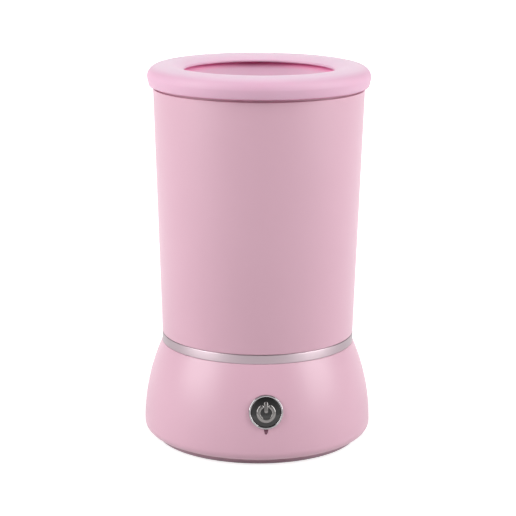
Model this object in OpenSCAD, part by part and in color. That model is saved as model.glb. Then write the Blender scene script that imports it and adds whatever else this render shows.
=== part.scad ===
// Electric make-up brush cleaner. A silicone pad spins in a wash cup, which lifts off a powered base.
// Millimetres, +Z up. The button faces -Y, and the origin is on the floor under the centre of the base.

/* [Base shell] */
// Widest diameter of the base shell
base_d = 91.2; // [91:0.2:98]
// Height of the base shell, from its lower edge to its top edge
base_h = 37.2; // [36:0.2:42]
// Radius of the rounded lower edge of the base shell
base_edge_r = 3.8; // [3.6:0.1:5]
// Wall of the base shell
base_wall = 2.4; // [2:0.1:2.8]
// Thickness of the deck on top of the base and of the plateau that stands on it
deck_t = 2.6; // [2.5:0.1:3]
// Height of the plateau above the trim ring
plateau_rise = 3.4; // [3:0.1:5]
// Width of the flat land round the opening under the base shell
base_land = 2.4; // [2:0.1:3]

/* [Bottom cover and foot ring] */
// Thickness of the rubber foot ring
foot_t = 1.2; // [1:0.1:2]
// How far the foot ring stands in from the cover's edge
foot_inset = 0.6; // [0.4:0.1:1.2]
// Width of the foot ring
foot_w = 4; // [3:0.1:4.4]
// Height of the cover's edge that shows under the base shell
cover_lip_t = 1.0; // [0.8:0.1:1.6]
// How far the cover's edge stands back from the base shell's lower edge
cover_inset = 0.4; // [0.2:0.1:0.8]
// Thickness of the cover's plate
cover_t = 2.0; // [1.8:0.1:2.6]
// Height of the cover's locating rim above its plate
cover_rim_h = 2.0; // [1.5:0.1:3]
// Wall of the cover's locating rim
cover_rim_t = 1.8; // [1.4:0.1:2.2]

/* [Trim ring] */
// Height of the silver trim ring
ring_h = 3.7; // [3:0.1:5]
// How far the ring stands out past the foot of the cup
ring_proud = 0.05; // [0:0.05:0.3]
// How far the base shell stands out past the ring
base_step = 0; // [0:0.05:0.3]

/* [Wash cup] */
// Height of the cup, from the trim ring to its rim
cup_h = 103.4; // [90:0.2:120]
// Outer diameter of the cup at its rim
cup_top_d = 83.6; // [82:0.2:85]
// Outer diameter of the cup at its foot
cup_bottom_d = 76.8; // [76:0.2:79]
// Wall of the cup
cup_wall = 2.4; // [2.2:0.1:2.8]
// Thickness of the cup's floor
floor_t = 2.6; // [2.2:0.1:3.2]
// Radius of the fillet between the cup's floor and wall
floor_fillet_r = 3; // [2:0.1:4]
// Radius of the tower that holds the spindle above the water
tower_r = 7; // [6.6:0.1:8]
// Height of the tower above the floor
tower_h = 7; // [6.5:0.1:9]
// Bevel on the cup's foot and rim
cup_bevel = 0.4; // [0.2:0.1:0.6]
// How far the neck, which the lid sits round, stands in from the cup's wall
neck_deep = 1.2; // [0.8:0.1:1.3]

/* [Splash lid] */
// How far the lid stands out past the cup's rim
lid_overhang = 2.2; // [1.9:0.1:4]
// Height of the lid, from its lower edge to its crown
lid_h = 8.4; // [7.8:0.1:10]
// Diameter of the mouth that the brushes go through
lid_mouth_d = 59; // [52:0.2:64]
// Thickness of the lid's plate round the mouth
lid_plate_t = 1.2; // [1:0.1:1.6]
// Height of the lid's crown above the cup's rim
lid_roof_t = 4.2; // [3.8:0.1:5]
// Depth of the plug that reaches down inside the cup
lid_plug_h = 8.5; // [6:0.1:12]
// Wall of the plug
lid_plug_t = 2.0; // [1.6:0.1:2.6]
// Radius of the arc over the lid's crown
lid_crown_r = 13.6; // [12.6:0.2:18]
// How far the crown stands in from the lid's side
lid_crown_in = 7.2; // [6.5:0.1:8]
// Radius of the lid's shoulder, between its crown and its side
lid_edge_r = 4.6; // [3.6:0.1:5]
// Radius of the lid's lower edge
lid_lip_r = 0.7; // [0.4:0.1:0.9]
// How far the lid's side leans in towards its lower edge
lid_lean = 0.8; // [0.4:0.1:1.2]
// Gap between the lid's lower edge and the step under the cup's neck
lid_gap = 1.0; // [0.6:0.1:1.2]
// How far the sealing bead stands out from the plug
bead_proud = 0.2; // [0.1:0.05:0.25]
// Diameter of the opening at the foot of the splash funnel under the mouth
funnel_mouth_d = 51; // [46:0.2:54]
// Height of the splash funnel
funnel_h = 10.8; // [9:0.1:11.4]
// Wall of the splash funnel
funnel_t = 1.2; // [1:0.1:1.6]
// How far the funnel's root stands back from the mouth
funnel_inset = 5.5; // [4.5:0.1:6]

/* [Scrub pad] */
// Diameter of the silicone scrub pad
pad_d = 67; // [60:0.5:68]
// Thickness of the pad above its carrier
pad_t = 2; // [1.6:0.1:3]
// Wall of the pad's lip and dome
pad_wall = 1.8; // [1.4:0.1:2.4]
// Diameter of a nub at its root
nub_d = 3.2; // [2.6:0.1:3.4]
// Diameter of a nub at its tip
nub_tip_d = 2; // [1.4:0.1:2.4]
// Height of a nub above the pad
nub_h = 4.5; // [3:0.1:6]
// Rows of nubs round the dome
nub_rows = 4; // [3:1:4]
// Fins on the dome
fin_count = 8; // [6:1:10]
// Thickness of the carrier plate under the pad
carrier_t = 1.6; // [1.4:0.1:2.2]
// Gap under the carrier plate
carrier_gap = 1.5; // [1.2:0.1:3]

/* [Drive] */
// Diameter of the motor can
motor_d = 24.4; // [24:0.1:26]
// Length of the motor can
motor_l = 26; // [24:0.2:27]
// Diameter of the motor shaft
shaft_d = 2.3; // [2:0.1:2.6]
// Thickness of the gasket on the motor's face
gasket_t = 0.8; // [0.5:0.1:1.2]
// Diameter of the two halves of the drive dog
dog_d = 16; // [15:0.2:18]
// Thickness of the drive dog's disc
dog_t = 2; // [1.8:0.1:2.6]
// Height of the dogs' lugs
lug_h = 3; // [2.6:0.1:4]
// Lugs on each half
lug_count = 4; // [3:1:4]
// Diameter of the spindle that carries the pad
spindle_d = 4; // [3.6:0.1:4.4]
// Outer diameter of the spindle's bush
bush_d = 8; // [7.6:0.1:8.6]
// Spacing of the two motor screws
motor_screw_pitch = 16; // [15:0.2:16.4]

/* [Power button] */
// Height of the button's centre above the floor
button_z = 22; // [21:0.1:24]
// Diameter of the button's cap
button_d = 11.5; // [11:0.1:12]
// Wall of the bezel that shows round the cap
bezel_t = 0.8; // [0.6:0.05:0.9]
// How far the bezel stands out of the base
bezel_proud = 0.45; // [0.3:0.05:0.8]
// How far the cap stands out of the base
cap_proud = 0.6; // [0.3:0.05:1]
// How far the button travels
button_travel = 0.8; // [0.4:0.05:1]
// Gap between the bezel and the indicator lens under it
lens_gap = 0.1; // [0.1:0.05:0.3]
// Height of the indicator lens
lens_h = 2.3; // [1.8:0.1:2.4]

/* [Power] */
// Height of the charging socket above the floor
usb_z = 13.5; // [13:0.1:16]
// Width of the charging socket's shell
usb_w = 8.94; // [8.9:0.01:9]
// Height of the charging socket's shell
usb_h = 3.26; // [3.2:0.01:3.3]
// Length of the charging socket's shell
usb_l = 7.4; // [7:0.1:8]
// Diameter of the battery cell
cell_d = 14.2; // [14:0.1:14.6]
// Length of the battery cell
cell_l = 43; // [40:0.5:44]
// Thickness of the circuit boards
board_t = 1.6; // [1:0.1:1.6]
// Diameter of the insulated leads
lead_d = 1.2; // [1:0.1:1.4]

/* [Fits] */
// Gap between the cup and the base, and between the lid and the cup
lift_fit = 0.3; // [0.2:0.05:0.4]
// Gap round pieces that turn in a bearing
running_fit = 0.04; // [0.02:0.01:0.06]
// Gap round pieces that are pushed together once
seat_fit = 0.05; // [0.03:0.01:0.1]
// Gap round the button's cap and other pieces that slide
slide_fit = 0.1; // [0.06:0.01:0.1]
// Gap between turning pieces and fixed ones
turn_gap = 0.6; // [0.5:0.05:0.8]

/* [Hidden] */
$fn = 96;
// How far a cutter runs past the face that it opens, and how far a post is rooted in its wall
cut = 1;
root = 0.8;
// How far a screw's thread reaches into its own head
weld = 0.01;
// Facets of the small round forms, and steps along the long arcs
small_fn = 24;
crown_steps = 16;
flare_steps = 24;

PINK = "#E6BACA";
LID_PINK = "#EDBBD2";
SILVER = "#C9BFC4";
MAUVE = "#8E707C";
GUNMETAL = "#3A3638";
CHROME = "#D8D4D6";
STEEL = "#B8B8BC";
BRONZE = "#B08D57";
BLACK = "#262426";
WHITE = "#F1EEEC";
GREEN = "#1F6B45";
RUBBER = "#3B3538";

// Heights, from the floor up
cover_z = foot_t;
shell_z = cover_z + cover_lip_t;
cover_top = cover_z + cover_t;
wide_z = shell_z + base_edge_r;
shell_top = shell_z + base_h;
deck_under = shell_top - deck_t;
ring_top = shell_top + ring_h;
plateau_top = ring_top + plateau_rise;
plateau_under = plateau_top - deck_t;
rim_z = ring_top + cup_h;
lid_top = rim_z + lid_roof_t;
lid_under = lid_top - lid_h;

// Radii of the cup, which tapers from its rim to its foot
cup_top_r = cup_top_d / 2;
cup_bottom_r = cup_bottom_d / 2;
function cup_r(z) = cup_bottom_r + (cup_top_r - cup_bottom_r) * (z - ring_top) / cup_h;
function cup_in_r(z) = cup_r(z) - cup_wall;

// The base flares on one arc from its top edge to its widest line
base_r = base_d / 2;
ring_r = cup_bottom_r + ring_proud;
base_top_r = ring_r + base_step;
flare_in = base_r - base_top_r;
flare_h = shell_top - wide_z;
flare_rho = (flare_h * flare_h + flare_in * flare_in) / (2 * flare_in);
flare_c = [base_r - flare_rho, wide_z];
function flare_angle(z, inset = 0) = asin((z - wide_z) / (flare_rho - inset));
function flare_r(z, inset = 0) = flare_c[0] + (flare_rho - inset) * cos(flare_angle(z, inset));

// The plateau is the spigot that the cup stands round
spigot_r = cup_in_r(ring_top) - lift_fit;
spigot_in_r = spigot_r - base_wall;
opening_r = base_r - base_edge_r - base_land;
cover_r = base_r - base_edge_r - cover_inset;
foot_r = cover_r - foot_inset;

// Keys in the cup's skirt, which keep it from turning on the spigot
key_count = 3;
key_w = 4;
key_deep = 1.2;

// Drive line, from the motor's face up to the pad
shaft_r = shaft_d / 2;
spindle_r = spindle_d / 2;
bush_r = bush_d / 2;
dog_r = dog_d / 2;
motor_r = motor_d / 2;
motor_face = plateau_under - gasket_t;
motor_back = motor_face - motor_l;
motor_boss_r = 3;
motor_boss_h = 1.6;
dog_z = plateau_top + turn_gap;
lug_z = dog_z + dog_t;
lug_gap = 0.4;
lug_inset = 0.4;
lug_r = dog_r - lug_inset;
lug_in_r = 4.6;
lug_play = 5;
dog_boss_r = 3.4;
dog_boss_h = 2.2;
driven_z = lug_z + lug_h + lug_gap;
driven_extra = 1;
driven_t = dog_t + driven_extra;
washer_t = 0.5;
washer_r = 3.6;
washer_z = driven_z + driven_t;
flange_w = 1.4;
flange_r = bush_r + flange_w;
flange_t = 0.8;
flange_z = washer_z + washer_t + slide_fit;
floor_z = flange_z + flange_t;
floor_top = floor_z + floor_t;
tower_top = floor_top + tower_h;
seal_w = 1.5;
seal_r = bush_r + seal_w;
seal_h = 2.2;
seal_z = tower_top - seal_h - slide_fit;
carrier_z = floor_top + carrier_gap;
carrier_top = carrier_z + carrier_t;
sleeve_play = 0.2;
sleeve_in_r = tower_r + turn_gap + sleeve_play;
sleeve_wall = 1.8;
sleeve_r = sleeve_in_r + sleeve_wall;
hub_boss_wall = 2.2;
hub_boss_r = spindle_r + hub_boss_wall;
hub_boss_z = tower_top + turn_gap;
hub_boss_h = 0.6;
hub_roof_z = hub_boss_z + hub_boss_h;
hub_roof_t = 2.4;
hub_top = hub_roof_z + hub_roof_t;
spindle_sink = 0.6;
spindle_top = hub_top - spindle_sink;

// Scrub pad, stretched over its carrier
pad_r = pad_d / 2;
carrier_r = pad_r - pad_wall - seat_fit;
pad_top = carrier_top + pad_t;
dome_in_r = sleeve_r + seat_fit;
dome_r = dome_in_r + pad_wall;
dome_in_top = hub_top + seat_fit;
dome_top = dome_in_top + pad_wall;
dome_round = 3;
fin_t = 1.4;
fin_proud = 1.2;
fin_short = 1;
nub_margin = 2.4;
nub_pitch = 6.4;

// Lid, which caps the rim like a channel
lid_r = cup_top_r + lid_overhang;
mouth_r = lid_mouth_d / 2;
neck_z = lid_under - lid_gap;
neck_r = cup_r(neck_z) - neck_deep;
channel_r = neck_r + lift_fit;
plug_r = cup_in_r(rim_z - lid_plug_h) - lift_fit;
plug_in_r = plug_r - lid_plug_t;
bead_share = 0.6;
bead_z = rim_z - lid_plug_h * bead_share;
bead_h = 1.2;
// The crown's arc, the shoulder's arc, which touches it from inside, and the lip round the mouth
crown_c = [lid_r - lid_crown_in, lid_top - lid_crown_r];
shoulder_in = lid_crown_in - lid_edge_r;
shoulder_angle = acos(shoulder_in / (lid_crown_r - lid_edge_r));
shoulder_c = crown_c + (lid_crown_r - lid_edge_r) * [cos(shoulder_angle), sin(shoulder_angle)];
lip_r = lid_plate_t / 2;
lip_angle = acos((mouth_r + lip_r - crown_c[0]) / (lid_crown_r - lip_r));
lip_c = crown_c + (lid_crown_r - lip_r) * [cos(lip_angle), sin(lip_angle)];
ceiling_r = lid_crown_r - lid_plate_t;
ceiling_angle = acos((plug_in_r - crown_c[0]) / ceiling_r);
// The funnel runs from the middle of the plate down to its foot
root_angle = acos((mouth_r + funnel_inset - crown_c[0]) / (lid_crown_r - lip_r));
funnel_root = crown_c + (lid_crown_r - lip_r) * [cos(root_angle), sin(root_angle)];
funnel_foot = [(funnel_mouth_d + funnel_t) / 2, funnel_root[1] - funnel_h];
funnel_way = funnel_foot - funnel_root;
funnel_turn = atan2(funnel_way[1], funnel_way[0]) + 90;
funnel_side = funnel_t / 2 * [cos(funnel_turn), sin(funnel_turn)];

// Button cluster. Its own +Z points out of the base at the button, and its +Y runs up the shell.
button_r = flare_r(button_z);
button_tilt = flare_angle(button_z);
cap_r = button_d / 2;
bezel_in_r = cap_r + slide_fit;
bezel_r = bezel_in_r + bezel_t;
button_seat_t = 1.8;
button_seat = base_wall + button_seat_t;
button_boss_wall = 2.8;
button_boss_r = bezel_r + button_boss_wall;
bezel_flange_w = 1.9;
bezel_flange_r = bezel_r + bezel_flange_w;
bezel_flange_t = 1;
bezel_flat = bezel_r + lens_gap / 2;
cap_flange_w = 0.7;
cap_flange_r = bezel_in_r + cap_flange_w;
cap_flange_t = 1.2;
cap_back = -button_seat - bezel_flange_t - seat_fit - cap_flange_t;
plunger_r = 1.7;
plunger_l = 2.8;
switch_w = 6;
switch_t = 3.5;
switch_slack = 0.7;
switch_top = cap_back - button_travel - switch_slack;
switch_deep = 2.6;
board_face = switch_top - switch_t;
board_back = board_face - board_t;
board_w = 27;
board_up = 8.5;
board_edge = 4.4;
lens_drop = bezel_r + lens_gap + lens_h / 2;
board_down = lens_drop + board_edge;
post_x = 10.8;
post_y = 4.6;
post_r = 2.1;
pilot_r = 0.75;
lens_w = 2.1;
lens_tip_r = 0.35;
lens_proud = 0.12;
lens_front = lens_proud - lens_drop * lens_drop / (2 * flare_rho);
led_t = 0.8;
led_gap = 0.2;
lens_back = board_face + led_t + led_gap;
// The sign's radius, line and drop, as shares of the cap's radius
symbol_share = 0.52;
line_share = 0.28;
drop_share = 0.06;
symbol_r = cap_r * symbol_share;
symbol_line = cap_r * line_share;
symbol_gap = 33;
symbol_raise = 0.25;
symbol_drop = cap_r * drop_share;

// Screw posts that hang from the deck down to the bottom cover
cover_post_r = 3.2;
cover_post_angles = [20, 160, 200, 340];
screw_r = 1.25;
screw_head_r = 2.4;
screw_head_h = 1.5;
screw_bite = 8;
screw_well_gap = 0.3;
screw_well_r = screw_head_r + screw_well_gap;
screw_recess = 0.4;
screw_margin = 0.8;
motor_screw_sink = 0.1;
cover_boss_r = 4.2;
cover_post_at = foot_r - foot_w - screw_well_r - screw_margin;
cover_boss_h = 1.6;
cover_boss_top = cover_top + cover_boss_h;
small_screw_r = 0.7;
small_head_r = 1.6;
small_head_h = 1.1;
small_bite = 4;
// A screw's cross recess, as shares of its head's radius and height
cross_reach = 0.6;
cross_half = 0.12;
cross_deep = 0.5;
// Gap round screws and pins that pass through a hole without touching it
loose = 0.2;

// Battery, beside the motor, in two saddles on the cover
cell_r = cell_d / 2;
cell_gap = 2.6;
cell_y = motor_r + cell_gap + cell_r;
cell_lift = 1;
cell_z = cover_top + cell_lift + cell_r;
saddle_x = 12;
saddle_t = 3;
saddle_h = 5;
tab_t = 0.3;
tab_r = 4.5;

// Charging socket at the back, on its own board, which fills the space behind the cell
usb_sink = 0.5;
usb_face = flare_r(usb_z) - usb_sink;
usb_fit = 0.2;
usb_skin = 0.3;
tongue = [6.7, 4.6, 0.7];
charge_margin = 0.6;
charge_post_x = usb_w / 2 + small_head_r + charge_margin;
charge_post_r = 2;
charge_w = 2 * (charge_post_x + small_head_r + charge_margin);
charge_gap = 1.6;
charge_front = cell_y + cell_r + charge_gap;
usb_overhang = 3.8;
charge_back = usb_face - usb_overhang;
charge_top = usb_z - usb_h / 2;
charge_under = charge_top - board_t;
charge_post_y = charge_front + charge_post_r + charge_margin;

// Motor
can_t = 1;
magnet_t = 2.2;
magnet_h = 17;
magnet_count = 2;
magnet_angle = 130;
magnet_lift = 4;
magnet_z = motor_back + magnet_lift;
air_gap = 0.5;
core_r = 3.4;
core_h = 13;
pole_count = 3;
pole_angle = 80;
core_lift = 8;
core_z = motor_back + core_lift;
end_cap_t = 3;
end_cap_plug = 1.5;
terminal_l = 4;
terminal_x = 6;
terminal_w = 2.4;
terminal_t = 0.6;
commutator_r = 2.6;
commutator_h = 4;
commutator_lift = 2.5;
commutator_z = motor_back + commutator_lift;
shaft_sink = 0.6;
shaft_z = motor_back - end_cap_t + shaft_sink;
shaft_top = lug_z + dog_boss_h - shaft_sink;

// Pads of the leads: distances across and along the boards, and how far a lead runs straight out of its pad
chip = [5, 4, 1.5];
chip_y = -3;
led = [2, 1.3];
motor_pad_x = 5;
motor_pad_y = -8;
board_pad_x = 9;
board_pad_y = -4;
power_pad_x = 2.4;
power_pad_y = 1.6;
lead_bend = 5;
lead_clear = 3;

// Shapes that repeat

// Points on an arc about c, from angle a to angle b
function arc(c, r, a, b, n = 8) =
    [for (i = [0:n]) let (t = a + (b - a) * i / n) c + r * [cos(t), sin(t)]];

// A point of the button cluster, in the part's own frame
function at_button(p) = [
    p[0],
    -button_r + p[1] * sin(button_tilt) - p[2] * cos(button_tilt),
    button_z + p[1] * cos(button_tilt) + p[2] * sin(button_tilt)
];

module in_button_frame() {
    translate([0, -button_r, button_z]) rotate([90 - button_tilt, 0, 0]) children();
}

module tube(r, bore_r, h) {
    difference() {
        cylinder(r = r, h = h);
        translate([0, 0, -cut]) cylinder(r = bore_r, h = h + 2 * cut);
    }
}

module half_section(points) {
    rotate_extrude() polygon(points);
}

// A bar with round ends, w wide and h high, along +Z
module slot(w, h, l) {
    linear_extrude(l) {
        square([w - h, h], center = true);
        for (side = [-1, 1]) translate([side * (w - h) / 2, 0]) circle(d = h);
    }
}

// A ring's sectors, for the dogs' lugs and the magnets
module sectors(r, in_r, h, count, angle) {
    for (i = [0:count - 1])
        rotate([0, 0, i * 360 / count - angle / 2])
            rotate_extrude(angle = angle) translate([in_r, 0]) square([r - in_r, h]);
}

// A pan-head screw that points along +Z, with the underside of its head at z = 0
module screw(r, head_r, head_h, l) {
    difference() {
        translate([0, 0, -head_h]) cylinder(r = head_r, h = head_h);
        for (turn = [0, 90])
            rotate([0, 0, turn])
                translate([-head_r * cross_reach, -head_r * cross_half, -head_h - cut])
                    cube([2 * head_r * cross_reach, 2 * head_r * cross_half, head_h * cross_deep + cut]);
    }
    translate([0, 0, -weld]) cylinder(r = r, h = l + weld);
}

module at_cover_posts() {
    for (a = cover_post_angles) rotate([0, 0, a]) translate([cover_post_at, 0, 0]) children();
}

module at_board_posts() {
    for (side = [-1, 1]) translate([side * post_x, post_y, 0]) children();
}

module at_charge_posts() {
    for (side = [-1, 1]) translate([side * charge_post_x, charge_post_y, 0]) children();
}

module at_motor_screws() {
    for (side = [-1, 1]) translate([side * motor_screw_pitch / 2, 0, 0]) children();
}

// The drop that hangs under the bezel: two upper corners and a tip
module drop(grow = 0) {
    hull() {
        for (side = [-1, 1])
            translate([side * (lens_w / 2 - lens_tip_r), lens_h / 2 - lens_tip_r])
                circle(r = lens_tip_r + grow, $fn = small_fn);
        translate([0, lens_tip_r - lens_h / 2]) circle(r = lens_tip_r + grow, $fn = small_fn);
    }
}

// An insulated lead: a tube of 8 sides swept along a curve
LEAD_SIDES = 8;
LEAD_RINGS = 18;
function unit(v) = v / norm(v);
function bezier(a, b, c, d, t) =
    a * pow(1 - t, 3) + 3 * b * t * pow(1 - t, 2) + 3 * c * t * t * (1 - t) + d * pow(t, 3);
function bezier_way(a, b, c, d, t) =
    unit((b - a) * pow(1 - t, 2) + 2 * (c - b) * t * (1 - t) + (d - c) * t * t);

// A lead runs from pad to pad through a point: t is 0 at its start, 1 at the point, 2 at its end
function lead_at(run, t) = t < 1
    ? bezier(run[0], run[0] + run[1], run[2] - run[3], run[2], t)
    : bezier(run[2], run[2] + run[3], run[4] + run[5], run[4], t - 1);
function lead_way(run, t) = t < 1
    ? bezier_way(run[0], run[0] + run[1], run[2] - run[3], run[2], t)
    : bezier_way(run[2], run[2] + run[3], run[4] + run[5], run[4], t - 1);

// Rings of points along a lead; across is a direction that it never runs along
function lead_rings(run, across) = [
    for (i = [0:LEAD_RINGS])
        let (
            t = 2 * i / LEAD_RINGS,
            way = lead_way(run, t),
            u = unit(cross(way, across)),
            v = cross(u, way)
        )
        for (k = [0:LEAD_SIDES - 1])
            let (turn = 360 * k / LEAD_SIDES)
            lead_at(run, t) + lead_d / 2 * (cos(turn) * u + sin(turn) * v)
];

// A run is its start, the way it leaves, the point, the way past it, its end, and the way out of that pad
module lead(run, across) {
    last = LEAD_RINGS * LEAD_SIDES;
    sides = [
        for (i = [0:LEAD_RINGS - 1], k = [0:LEAD_SIDES - 1])
            let (p = i * LEAD_SIDES, q = (k + 1) % LEAD_SIDES)
            each [
                [p + k, p + q, p + LEAD_SIDES + k],
                [p + q, p + LEAD_SIDES + q, p + LEAD_SIDES + k]
            ]
    ];
    start = [for (k = [LEAD_SIDES - 1:-1:0]) k];
    end = [for (k = [0:LEAD_SIDES - 1]) last + k];
    polyhedron(points = lead_rings(run, across), faces = concat([start], sides, [end]));
}

// The lid

module lid_ring() {
    lean_r = lid_r - lid_lean - lid_lip_r;
    color(LID_PINK) {
        half_section(concat(
            arc(lip_c, lip_r, lip_angle + 180, lip_angle),
            arc(crown_c, lid_crown_r, lip_angle, shoulder_angle, crown_steps),
            arc(shoulder_c, lid_edge_r, shoulder_angle, 0),
            arc([lean_r, lid_under + lid_lip_r], lid_lip_r, 0, -90),
            [
                [channel_r, lid_under],
                [channel_r, rim_z],
                [plug_r, rim_z],
                [plug_r, bead_z + bead_h / 2],
                [plug_r + bead_proud, bead_z],
                [plug_r, bead_z - bead_h / 2],
                [plug_r, rim_z - lid_plug_h],
                [plug_in_r, rim_z - lid_plug_h]
            ],
            arc(crown_c, ceiling_r, ceiling_angle, lip_angle)
        ));
        half_section(concat(
            arc(funnel_foot, funnel_t / 2, funnel_turn, funnel_turn - 180),
            [funnel_root - funnel_side, funnel_root + funnel_side]
        ));
    }
}

// The wash cup and what it carries

module cup_shell() {
    fillet_z = floor_top + floor_fillet_r;
    fillet_c = [cup_in_r(fillet_z) - floor_fillet_r, fillet_z];
    color(PINK) {
        half_section(concat(
            [
                [cup_in_r(ring_top), ring_top],
                [cup_bottom_r - cup_bevel, ring_top],
                [cup_r(ring_top + cup_bevel), ring_top + cup_bevel],
                [cup_r(neck_z), neck_z],
                [neck_r, neck_z],
                [neck_r, rim_z - cup_bevel],
                [neck_r - cup_bevel, rim_z],
                [cup_in_r(rim_z) + cup_bevel, rim_z],
                [cup_in_r(rim_z - cup_bevel), rim_z - cup_bevel]
            ],
            arc(fillet_c, floor_fillet_r, 0, -90),
            [
                [tower_r, floor_top],
                [tower_r, tower_top],
                [seal_r, tower_top],
                [seal_r, seal_z],
                [bush_r, seal_z],
                [bush_r, floor_z],
                [cup_in_r(floor_z), floor_z]
            ]
        ));
        key_r = spigot_r - key_deep + lift_fit;
        for (i = [0:key_count - 1])
            rotate([0, 0, i * 360 / key_count])
                translate([key_r, -key_w / 2, ring_top + lift_fit])
                    cube([cup_in_r(ring_top) - key_r + root, key_w, floor_z - ring_top - lift_fit + root]);
    }
}

module spindle_bush() {
    color(BRONZE) half_section([
        [spindle_r + running_fit, flange_z],
        [flange_r, flange_z],
        [flange_r, floor_z],
        [bush_r - seat_fit, floor_z],
        [bush_r - seat_fit, seal_z],
        [spindle_r + running_fit, seal_z]
    ]);
}

module lip_seal() {
    lip_t = 0.7;
    lip_clear = 1.2;
    lip_in_r = spindle_r + lip_clear;
    color(RUBBER) half_section([
        [lip_in_r, seal_z],
        [seal_r - seat_fit, seal_z],
        [seal_r - seat_fit, seal_z + seal_h],
        [seal_r - lip_t, seal_z + seal_h],
        [seal_r - lip_t, seal_z + lip_t],
        [lip_in_r + lip_t, seal_z + lip_t],
        [spindle_r + running_fit + lip_t, seal_z + seal_h],
        [spindle_r + running_fit, seal_z + seal_h],
        [spindle_r + running_fit, seal_z + seal_h - lip_t]
    ]);
}

module thrust_washer() {
    color(WHITE) translate([0, 0, washer_z]) tube(washer_r, spindle_r + seat_fit, washer_t);
}

// The turning pad

module spindle() {
    bevel = 0.3;
    color(STEEL) half_section([
        [0, driven_z],
        [spindle_r - bevel, driven_z],
        [spindle_r, driven_z + bevel],
        [spindle_r, spindle_top - bevel],
        [spindle_r - bevel, spindle_top],
        [0, spindle_top]
    ]);
}

module pad_carrier() {
    color(WHITE) half_section([
        [sleeve_in_r, carrier_z],
        [carrier_r, carrier_z],
        [carrier_r, carrier_top],
        [sleeve_r, carrier_top],
        [sleeve_r, hub_top],
        [0, hub_top],
        [0, spindle_top + seat_fit],
        [spindle_r + seat_fit, spindle_top + seat_fit],
        [spindle_r + seat_fit, hub_boss_z],
        [hub_boss_r, hub_boss_z],
        [hub_boss_r, hub_roof_z],
        [sleeve_in_r, hub_roof_z]
    ]);
}

// The dome's outline from the pad's face up, grown by an amount
function dome_edge(grow) = concat(
    [[dome_r + grow, pad_top]],
    arc([dome_r + grow - dome_round, dome_top - dome_round], dome_round, 0, 90)
);

module scrub_pad() {
    first_row = dome_r + fin_proud + nub_margin;
    row_step = (pad_r - nub_margin - first_row) / (nub_rows - 1);
    color(LID_PINK) {
        half_section(concat(
            [
                [carrier_r + seat_fit, carrier_z],
                [pad_r, carrier_z],
                [pad_r, pad_top]
            ],
            dome_edge(0),
            [
                [0, dome_top],
                [0, dome_in_top],
                [dome_in_r, dome_in_top],
                [dome_in_r, carrier_top],
                [carrier_r + seat_fit, carrier_top]
            ]
        ));
        for (row = [0:nub_rows - 1]) {
            row_r = first_row + row * row_step;
            count = floor(2 * PI * row_r / nub_pitch);
            for (i = [0:count - 1])
                rotate([0, 0, (i + 0.5 * (row % 2)) * 360 / count])
                    translate([row_r, 0, pad_top - root])
                        cylinder(d1 = nub_d, d2 = nub_tip_d, h = nub_h + root, $fn = small_fn);
        }
        intersection() {
            half_section(concat([[0, pad_top - root], [dome_r + fin_proud, pad_top - root]],
                dome_edge(fin_proud), [[0, dome_top]]));
            for (i = [0:fin_count - 1])
                rotate([0, 0, i * 360 / fin_count])
                    translate([dome_r - root, -fin_t / 2, pad_top - root])
                        cube([fin_proud + root + cut, fin_t, dome_top - pad_top - fin_short]);
        }
    }
}

module driven_dog() {
    angle = 180 / lug_count - lug_play;
    color(WHITE) {
        translate([0, 0, driven_z]) tube(dog_r, spindle_r + seat_fit, driven_t);
        translate([0, 0, driven_z - lug_h])
            sectors(lug_r, lug_in_r, lug_h + root, lug_count, angle);
    }
}

// The base

module base_outline() {
    top_angle = flare_angle(shell_top);
    deck_angle = flare_angle(deck_under, base_wall);
    edge_c = [base_r - base_edge_r, wide_z];
    bevel = 0.6;
    polygon(concat(
        [[opening_r, shell_z]],
        arc(edge_c, base_edge_r, -90, 0),
        arc(flare_c, flare_rho, 0, top_angle, flare_steps),
        [
            [spigot_r, shell_top],
            [spigot_r, plateau_top - bevel],
            [spigot_r - bevel, plateau_top],
            [motor_boss_r + loose, plateau_top],
            [motor_boss_r + loose, plateau_under],
            [spigot_in_r, plateau_under],
            [spigot_in_r, deck_under]
        ],
        arc(flare_c, flare_rho - base_wall, deck_angle, 0, flare_steps),
        arc(edge_c, base_edge_r - base_wall, 0, -90),
        [[opening_r, shell_z + base_wall]]
    ));
}

module cover_posts(top) {
    foot = cover_boss_top + seat_fit;
    at_cover_posts() translate([0, 0, foot]) cylinder(r = cover_post_r, h = top - foot);
}

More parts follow.
